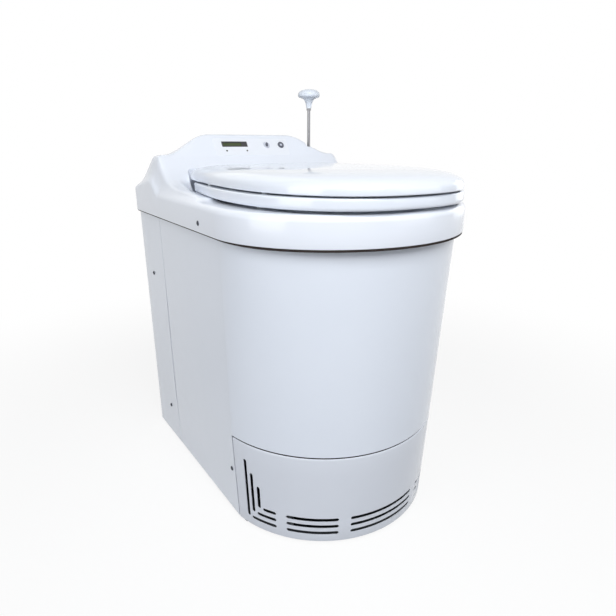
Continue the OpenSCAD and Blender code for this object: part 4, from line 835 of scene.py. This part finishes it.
def make_top_cover():
    """Rim, deck and console in one moulding, hollow underneath."""
    outer = [(0.8, RIM_Z), (0.2, RIM_Z + 0.3), (0, RIM_Z + 1.2), (0, 470)]
    rounding = arc(RIM_EDGE, RIM_TOP - RIM_EDGE, RIM_EDGE, 180, 90, 8)
    path = rim_stations(ARM_Y, 4, 120)
    points = [rim_point(t, y, s, z) for t, y in path for s, z in outer + rounding]
    k = len(outer) + len(rounding)
    faces = quads(len(path), k, flip=True)

    rows = spread(ARM_Y, SWEEP_Y, 24)[:-1] + [lerp(SWEEP_Y, PANEL_Y, (i / 40) ** 0.9) for i in range(41)]
    rows += spread(PANEL_Y, RIDGE_Y - 3, 10)[1:] + spread(RIDGE_Y - 3, RIDGE_BACK + 3, 18)[1:]
    rows += spread(RIDGE_BACK + 3, BACK_Y - 5, 26)[1:]
    rows += [BACK_Y - 5 + 5 * math.sin(math.pi / 2 * i / 8) for i in range(1, 9)]
    inside = [RIM_EDGE + i * 0.75 for i in range(1, 17)] + [21 + i * 3.0 for i in range(1, 32)]
    inside += spread(inside[-1], RIM_HALF, 22)[1:-1]
    right = [RIM_HALF - d for d in inside]
    columns = [-x for x in right] + [0.0] + right[::-1]
    start, width = len(points), 2 * k + len(columns)
    for y in rows:
        edge, kx = console_height(RIM_HALF, y), narrowing(y)
        side = [(RIM_HALF - s, min(z, edge)) for s, z in outer]
        side += [(RIM_HALF - s, console_height(RIM_HALF - s, y)) for s, z in rounding]
        skin_line = [(x, console_height(x, y)) for x in columns]
        points += [(x * kx, y, z) for x, z in [(-x, z) for x, z in side] + skin_line + side[::-1]]
    faces += quads(len(rows), width, start)
    last = start + (len(rows) - 1) * width
    faces.append(tuple(range(last, last + width)))
    # Deck between the rim's inner edge and the console's front, and the flat underside
    faces.append(tuple(range(k - 1, start, k)) + tuple(range(start + k, start + width - k)))
    faces.append(tuple(range(0, start, k)) + tuple(range(start + width, last + 1, width))
                 + tuple(range(last + width - 1, start + width - 1, -width)))
    piece = solid("top_cover_moulding", points, faces)
    cut(piece, *hollow_cutters())
    cut(piece, recess_cutter(0, RIM_TOP, 200, 10, 9), recess_cutter(0, RIM_TOP + LIP_H, 200, 10))
    bowl_x, bowl_y = BOWL_HOLE
    bowl = [(bowl_x * x, BOWL_Y + bowl_y * y) for x, y in circle(0, 0, 1, 96)]
    holes = [prism("hole_cutter", bowl, 480, 500),
             turned("hole_cutter", [(GUIDE_HOLE_R, 0), (GUIDE_HOLE_R, 40)], (ROD_X, ROD_Y, GUIDE_TOP - 3)),
             turned("hole_cutter", [(ROD_HOLE_R, -60), (ROD_HOLE_R, 20)], (ROD_X, ROD_Y, GUIDE_TOP))]
    return cut(piece, *holes, *panel_cutters(-20, 10), sharp=35)


def hollow_cutters():
    """The space under the deck, and the space inside the console."""
    half, back = RIM_HALF - MOULDING, BACK_Y - MOULDING
    outline = [(half, back), (-half, back)]
    outline += [rim_point(t, ARC_Y, MOULDING, 0)[:2] for t in spread(-math.pi / 2, math.pi / 2, 40)]
    under = prism("hollow_cutter", outline, RIM_Z - 1, RIM_TOP - MOULDING)
    wall, floor = CONSOLE_WALL, 482.0
    xs = spread(-RIM_HALF, RIM_HALF, 64)
    ys = spread(SWEEP_Y, PANEL_Y, 16) + [PANEL_Y + 11, RIDGE_Y - 1, RIDGE_Y + 3]
    ys += spread(RIDGE_BACK, BACK_Y, 8)
    kx = (RIM_HALF - wall) / RIM_HALF
    top = [(x * kx, min(y, BACK_Y - wall), max(floor + 1, console_height(x, min(y, BACK_Y - 5)) - wall))
           for y in ys for x in xs]
    low = [(x, y, floor) for x, y, _ in top]
    n, m, rows = len(xs), len(top), len(ys)
    border = list(range(n)) + [j * n + n - 1 for j in range(1, rows)]
    border += [(rows - 1) * n + i for i in range(n - 2, -1, -1)] + [j * n for j in range(rows - 2, 0, -1)]
    faces = quads(rows, n, flip=True) + quads(rows, n, m)
    faces += [(a, b, m + b, m + a) for a, b in zip(border, border[1:] + border[:1])]
    inside = solid("hollow_cutter", top + low, faces)
    return [under, cut(inside, recess_cutter(3, 470, 230, 12))]


def recess_cutter(s, z0, height, corner, inset=0.0):
    """The space round the seat and the lid, open towards the front."""
    def half(y):
        return s + recess_half(y) - inset * (1 - ease((y - 75) / 15))
    back = LID_BACK_Y + 6 + s
    right = [(half(y), y) for y in spread(ARM_Y - 8, back - corner, 32)]
    right += arc(half(back - corner) - corner, back - corner, corner, 0, 90, 8)[1:]
    return prism("recess_cutter", right + [(-x, y) for x, y in reversed(right)], z0, z0 + height)


def panel_place(u, v, w):
    """A place on the control panel: across, up its slope and out of its face."""
    c, d = math.cos(PANEL_TILT), math.sin(PANEL_TILT)
    return u, PANEL_Y + v * c - w * d, PANEL_FOOT_Z + v * d + w * c


def panel_prism(name, outline, w0, w1):
    return loft(name, [[panel_place(u, v, w) for u, v in outline] for w in (w0, w1)])


def panel_cutters(w0, w1):
    """The holes for the display, the buttons and the lamps, between two levels off the panel's face."""
    outlines = [rounded_box(*WINDOW, 1.0)]
    outlines += [circle(u, BUTTON_V, BUTTON_R + 0.3) for u in BUTTONS] + [circle(u, LAMP_V, LAMP_R, 24) for u in LAMPS]
    return [panel_prism("hole_cutter", outline, w0, w1) for outline in outlines]


# ---------------------------------------- seat and lid

# Half width, front, rear, draw towards the rear and corner radius, in plan
LID_PLAN = (LID_HALF, NOSE_Y, LID_BACK_Y, LID_DRAW, 14)
SEAT_PLAN = (SEAT_HALF, SEAT_FRONT_Y, SEAT_BACK_Y, SEAT_DRAW, 16)
PIN_R = 3.05
LUG_R = 7.0
LID_WALL = 3.0
LID_RIM = 4.0
SEAT_TOP = 14.6
# Places across the width and, for the bumpers, in depth
LID_LUG = (78.5, 84.5)
LID_NOTCH = (59, 78.2)
SEAT_LUG = (59.5, 65.5)
LID_BUMPERS = ((144.5, WIDE_Y - 75), (149, WIDE_Y + 85))
SEAT_BUMPERS = ((SEAT_HALF - 26, WIDE_Y - 60), (SEAT_HALF - 30, WIDE_Y + 90))
SEAT_HOLE = (106, 132)
SEAT_HOLE_Y = WIDE_Y + 8
DOME_KS = (0.9992, 0.998, 0.996, 0.993, 0.989, 0.984, 0.978, 0.97, 0.96, 0.948, 0.93, 0.908, 0.88, 0.845, 0.8, 0.745,
           0.68, 0.6, 0.5, 0.39, 0.27, 0.14, 0.04)


def plan_ring(plan, k, z):
    """Outline of the seat or the lid from its nose round the right side, scaled by k about its middle."""
    half, front, back, draw, r = plan
    right = []
    power = 2 / PLAN_POWER
    for a in spread(0, math.pi / 2, 64):
        right.append((half * math.sin(a) ** power, WIDE_Y - (WIDE_Y - front) * math.cos(a) ** power))
    right += [(rear_half(y, half, draw), y) for y in spread(WIDE_Y, back - r, 14)[1:]]
    cx = rear_half(back - r, half, draw) - r
    right += arc(cx, back - r, r, 0, 90, 9)[1:] + [(cx * 0.5, back)]
    middle = (front + back) / 2
    right = [(x * k, middle + (y - middle) * k, z) for x, y in right]
    return right + [(-x, y, z) for x, y, z in reversed(right[1:])]


def lid_height(k):
    """Height of the lid's skin above its foot, over the outline scaled by k."""
    return LID_RIM + (LID_H - LID_RIM) * (1 - k**5.2) ** (1 / 2.6) if k < 1 else LID_RIM


def side_span(sign, span):
    """A span across the width on one side, its lower end first."""
    return sorted((sign * span[0], sign * span[1]))


def make_lid():
    """The lid's domed shell with a hollow underside, its hinge lugs and the notches for the posts."""
    inner = 1 - LID_RIM / LID_HALF
    places = [(k * inner, lid_height(k) - LID_WALL) for k in reversed(DOME_KS)]
    places += [(inner, 1.2), (inner * 1.001, 0.3), (inner * 1.004, 0.0), (0.9945, 0.0), (0.9972, 0.12), (0.999, 0.5),
               (0.9998, 1.1), (1, 1.8), (1, LID_RIM)]
    places += [(k, lid_height(k)) for k in DOME_KS]
    piece = loft("lid_shell", [plan_ring(LID_PLAN, k, LID_Z + z) for k, z in places], sharp=40)
    lugs, notches = [], []
    for sign in (-1, 1):
        x0, x1 = side_span(sign, LID_LUG)
        lugs.append(x_rod("lug", x0, x1, HINGE_Y, LID_Z, LUG_R))
        lugs.append(box("lug", (x0, HINGE_Y - LUG_R, LID_Z), (x1, HINGE_Y + LUG_R, LID_Z + 20)))
        x0, x1 = side_span(sign, LID_NOTCH)
        notches.append(box("notch", (x0, HINGE_Y - 8.5, LID_Z - 1), (x1, HINGE_Y + 51.5, LID_Z + 13)))
    for x, y in LID_BUMPERS:
        lugs += [turned("boss", [(4.2, 0.05), (4.2, 9)], (sign * x, y, LID_Z), 32) for sign in (-1, 1)]
    cut(piece, *notches, sharp=40)
    cut(piece, *lugs, operation="UNION", sharp=40)
    return cut(piece, x_rod("pin_hole", -RIM_HALF, RIM_HALF, HINGE_Y, LID_Z, PIN_R), sharp=40)


def make_seat():
    """The seat ring: a rounded outer edge, a gently crowned top and a bevelled hole."""
    def outer(k, z):
        return plan_ring(SEAT_PLAN, k, SEAT_Z + z)

    half_x, half_y = SEAT_HOLE
    turns = [math.atan2((y - SEAT_HOLE_Y) / half_y, x / half_x) for x, y, _ in outer(1, 0)]

    def hole(grow, z):
        return [((half_x + grow) * math.cos(a), SEAT_HOLE_Y + (half_y + grow) * math.sin(a), SEAT_Z + z) for a in turns]

    def crown(k):
        z = SEAT_Z + SEAT_TOP + 0.4 * math.sin(math.pi * k) ** 0.5
        ends = zip(outer(0.984, SEAT_TOP), hole(8, SEAT_TOP))
        return [(lerp(p[0], q[0], k), lerp(p[1], q[1], k), z) for p, q in ends]

    rings = [outer(k, z) for k, z in (
        (0.985, 0.0), (0.9895, 0.15), (0.994, 0.7), (0.9975, 1.7), (0.9995, 3.0), (1.0, 4.4), (1.0, 8.5), (1.0, 11.4),
        (0.9988, 12.8), (0.996, 13.8), (0.991, 14.4), (0.984, SEAT_TOP))]
    rings += [crown(k) for k in (0.12, 0.28, 0.5, 0.72, 0.88)]
    rings += [hole(grow, z) for grow, z in (
        (8, SEAT_TOP), (5.5, 13.6), (3.2, 12), (1.4, 9.6), (0.3, 6.5), (0, 4), (0.5, 1.4), (1.6, 0.3), (3, 0), (5.5, 0),
        (6, 0.8), (7, 9.6), (10, 10.6))]
    rings += [outer(k, z) for k, z in ((0.95, 10.6), (0.966, 9.6), (0.972, 0.8), (0.9745, 0))]
    piece = loft("seat_body", rings, sharp=40, closed=True)
    lugs = []
    for sign in (-1, 1):
        for x, y in SEAT_BUMPERS:
            lugs.append(turned("boss", [(7.2, 0.05), (7.2, 12)], (sign * x, y, SEAT_Z), 40))
        x0, x1 = side_span(sign, SEAT_LUG)
        lugs.append(box("lug", (x0, SEAT_BACK_Y - 8, SEAT_Z + 3), (x1, HINGE_Y, SEAT_Z + 12)))
        lugs.append(box("lug", (x0, HINGE_Y - 5, SEAT_Z + 3), (x1, HINGE_Y + 5, LID_Z)))
        lugs.append(x_rod("lug", x0, x1, HINGE_Y, LID_Z, LUG_R))
    cut(piece, *lugs, operation="UNION", sharp=40)
    return cut(piece, x_rod("pin_hole", -RIM_HALF, RIM_HALF, HINGE_Y, LID_Z, PIN_R), sharp=40)


# ---------------------------------------- plunger and controls


def make_knob():
    """The mushroom knob, turned from a smooth profile."""
    places = [(4.8, 0), (5.6, 6), (7.6, 12), (10.4, 16.2), (15, 18.4), (18.8, 19.6), (20.7, 21.6), (21, 24.2),
              (19.9, 27.9), (15.8, 31.5), (10.5, 33.3), (4, 33.95), (0, 34)]
    lengths = [0.0]
    for a, b in zip(places, places[1:]):
        lengths.append(lengths[-1] + math.dist(a, b))
    radius, height = [smooth_curve(lengths, values) for values in zip(*places)]
    profile = [(3.1, 8.0), (3.1, 0.4), (3.5, 0.0), (4.3, 0.0)]
    profile += [(radius(s), height(s)) for s in spread(0, lengths[-1], 48)]
    return turned("knob_moulding", profile, (ROD_X, ROD_Y, KNOB_TOP - 34), 96)


def make_guide():
    """The cone that the rod passes through, with its barrel."""
    profile = [(3.05, 0.0), (4.6, 0.0), (5.3, -0.3), (7.2, -2.6), (7.5, -3.0), (7.2, -3.0), (6, -3.0), (6, -29.5),
               (5.5, -30), (3.05, -30)]
    return turned("rod_guide_bush", profile, (ROD_X, ROD_Y, GUIDE_TOP), closed=True)


def make_overlay():
    """The film over the panel with its cut-outs."""
    return cut(panel_prism("panel_film", rounded_box(0, 18.5, 152, 35, 3.0), 0.0, 0.4), *panel_cutters(-2, 4))


def make_bezel():
    """The display's dark surround, wide at its right end."""
    u, v, w, h = WINDOW
    piece = panel_prism("display_bezel", rounded_box(u, v, w - 0.1, h - 0.1, 0.9), -0.5, 0.45)
    return cut(piece, panel_prism("hole_cutter", rounded_box(u - 4.6, v - 0.2, w - 14.5, h - 4.2, 0.5), -3, 3))


def panel_turned(name, profile, u, stretch=1.0, turn=0.0):
    """A turned shape at a button's place, from a profile of radius and height off the panel's face."""
    c, d = math.cos(math.radians(turn)), math.sin(math.radians(turn))
    rings = []
    for r, w in profile:
        places = [(x * stretch, y) for x, y in circle(0, 0, max(r, 0.01), 40)]
        rings.append([panel_place(u + x * c - y * d, BUTTON_V + x * d + y * c, w) for x, y in places])
    return loft(name, rings)


def make_button(name, u):
    """A round button with a flange behind the panel and a dished top."""
    r, flange = BUTTON_R, BUTTON_R + 2
    return panel_turned(name, [(0, -5.18), (flange, -5.18), (flange, -3.18), (r, -3.18), (r, 1.2), (r - 0.15, 1.6),
                               (r - 0.6, 1.95), (r - 1.3, 2.0), (r - 2.2, 1.75), (r - 3.2, 1.35), (1.5, 1.15),
                               (0, 1.1)], u)


def make_slanted_mark():
    profile = [(0, 1.0), (4.6, 1.5), (4.9, 1.95), (4.6, 2.05), (0, 1.75)]
    return panel_turned("button_mark_left", profile, BUTTONS[0], 0.55, -18)


def make_round_mark():
    profile = [(0, 1.0), (2.0, 1.15), (2.2, 1.45), (1.9, 1.6), (0, 1.7)]
    return panel_turned("button_mark_right", profile, BUTTONS[1])


# What makes a piece, its body, its slot, the CAD nodes it stands for and a finish unlike its slot's
PIECES = [
    (make_cabinet, "cabinet", "white_sheet", ("cabinet",), None),
    (make_shelf, "cabinet", "white_sheet", (), None),
    # The two dark strips are painted shade: the shadow lines under the rim and over the front cover
    (make_cover_shadow_strip, "cabinet", "seal_rubber", (), "foam"),
    (make_rim_shadow_strip, "cabinet", "seal_rubber", (), "foam"),
    (lambda: make_seam_flange("seam_flange_left", -1), "cabinet", "white_sheet", (), None),
    (lambda: make_seam_flange("seam_flange_right", 1), "cabinet", "white_sheet", (), None),
    (make_rear_cover, "cabinet", "white_sheet", ("rear_cover",), None),
    (make_front_cover, "front_cover", "white_sheet", ("front_cover",), "cover"),
    (make_top_cover, "cabinet", "white_moulding", ("top_cover",), None),
    (make_lid, "lid", "white_seat", ("lid",), None),
    (make_seat, "seat", "white_seat", ("seat_ring",), None),
    (make_knob, "plunger", "white_moulding", ("plunger_knob",), "knob"),
    (make_guide, "cabinet", "white_moulding", ("rod_guide",), None),
    (make_overlay, "cabinet", "overlay", ("panel_overlay",), None),
    (make_bezel, "cabinet", "black_plastic", (), None),
    (lambda: make_button("button_body_left", BUTTONS[0]), "button_left", "button", ("button_left",), "pale_button"),
    (lambda: make_button("button_body_right", BUTTONS[1]), "button_right", "button", ("button_right",), None),
    (make_slanted_mark, "button_left", "button", (), None),
    (make_round_mark, "button_right", "button", (), "pale_button"),
]
for make, body, slot_name, nodes, finish in PIECES:
    fit(make(), body, slot_name, nodes, finish)


# ---------------------------------------- stage and light

FLOOR_HALF = 6000
# Share of plain white near the part and further out, and the distances between which it grows, in metres
WHITE_SHARE = (0.86, 1.0)
WHITE_REACH = (0.45, 1.3)
AIM = (0, -0.15, 0.42)
DAYLIGHT = (0.965, 0.985, 1.0)


def rays_seen(tree):
    """A mask of camera, glossy and transmission rays, and one of camera rays alone."""
    rays = add(tree, "LightPath").outputs
    seen = maths(tree, "MAXIMUM", rays["Is Camera Ray"], rays["Is Glossy Ray"])
    return maths(tree, "MAXIMUM", seen, rays["Is Transmission Ray"]), rays["Is Camera Ray"]


def blend_shaders(tree, output, share, first, second):
    """Gives the output a surface that goes from the first shader to the second."""
    mix = add(tree, "MixShader", {"Fac": share, 1: first.outputs[0], 2: second.outputs[0]})
    tree.links.new(mix.outputs[0], tree.nodes[output].inputs["Surface"])


def make_floor():
    """A plain pale floor that keeps the shadow near the part and fades into the background further out."""
    h = FLOOR_HALF
    floor = solid("floor", [(-h, -h, 0), (h, -h, 0), (h, h, 0), (-h, h, 0)], [(0, 1, 2, 3)])
    made, tree, shader = new_material("pale_floor")
    seen, camera = rays_seen(tree)
    tone = place_group(tree, TONE, srgb((164, 166, 171)), srgb((158, 160, 165)), 2.0, 0.5, 0.6, 0.05)
    skin(tree, shader, tone, Specular_IOR_Level=0.1)
    tree.links.new(mix_colours(tree, camera, tone["Colour"], WHITE), shader["Base Color"])
    place = add(tree, "TexCoord").outputs["Object"]
    reach = add(tree, "VectorMath", {0: place}, operation="LENGTH").outputs["Value"]
    fade = add(tree, "MapRange", {"Value": reach, "From Min": WHITE_REACH[0], "From Max": WHITE_REACH[1],
                                  "To Min": WHITE_SHARE[0], "To Max": WHITE_SHARE[1]},
               interpolation_type="SMOOTHSTEP").outputs["Result"]
    blend_shaders(tree, "Material Output", maths(tree, "MULTIPLY", seen, fade), tree.nodes["Principled BSDF"],
                  add(tree, "Emission", {"Strength": 1.0}))
    dress(floor, made)


def make_world():
    """White to the camera and in reflections, a plain soft light otherwise."""
    world = bpy.data.worlds.new("studio")
    world.use_nodes = True
    tree = world.node_tree
    soft = tree.nodes["Background"]
    soft.inputs["Color"].default_value = (0.93, 0.96, 1.0, 1.0)
    soft.inputs["Strength"].default_value = 0.05
    seen, _ = rays_seen(tree)
    blend_shaders(tree, "World Output", seen, soft, add(tree, "Background", {"Color": WHITE, "Strength": 1.0}))
    bpy.context.scene.world = world


def area_lamp(name, place, side, power):
    """A square lamp that looks at the part."""
    data = bpy.data.lights.new(name, "AREA")
    data.shape = "RECTANGLE"
    data.size = data.size_y = side
    data.energy = power
    data.color = DAYLIGHT
    lamp = new_object(name, data)
    lamp.location = place
    lamp.rotation_euler = (Vector(AIM) - Vector(place)).to_track_quat("-Z", "Y").to_euler()


make_floor()
make_world()
area_lamp("front_lamp", (-0.33, -1.3, 1.55), 1.0, 23.3)
area_lamp("left_lamp", (-2.5, -0.45, 0.9), 1.6, 21)
area_lamp("high_left_lamp", (-1.8, -0.35, 2.1), 1.6, 6.5)
area_lamp("right_lamp", (1.45, -2.05, 1.0), 1.6, 9.5)
area_lamp("rear_lamp", (0, 2.0, 2.0), 1.6, 3)
area_lamp("right_side_lamp", (2.4, 0.1, 0.8), 1.2, 5)
bpy.context.scene.view_settings.view_transform = "Standard"
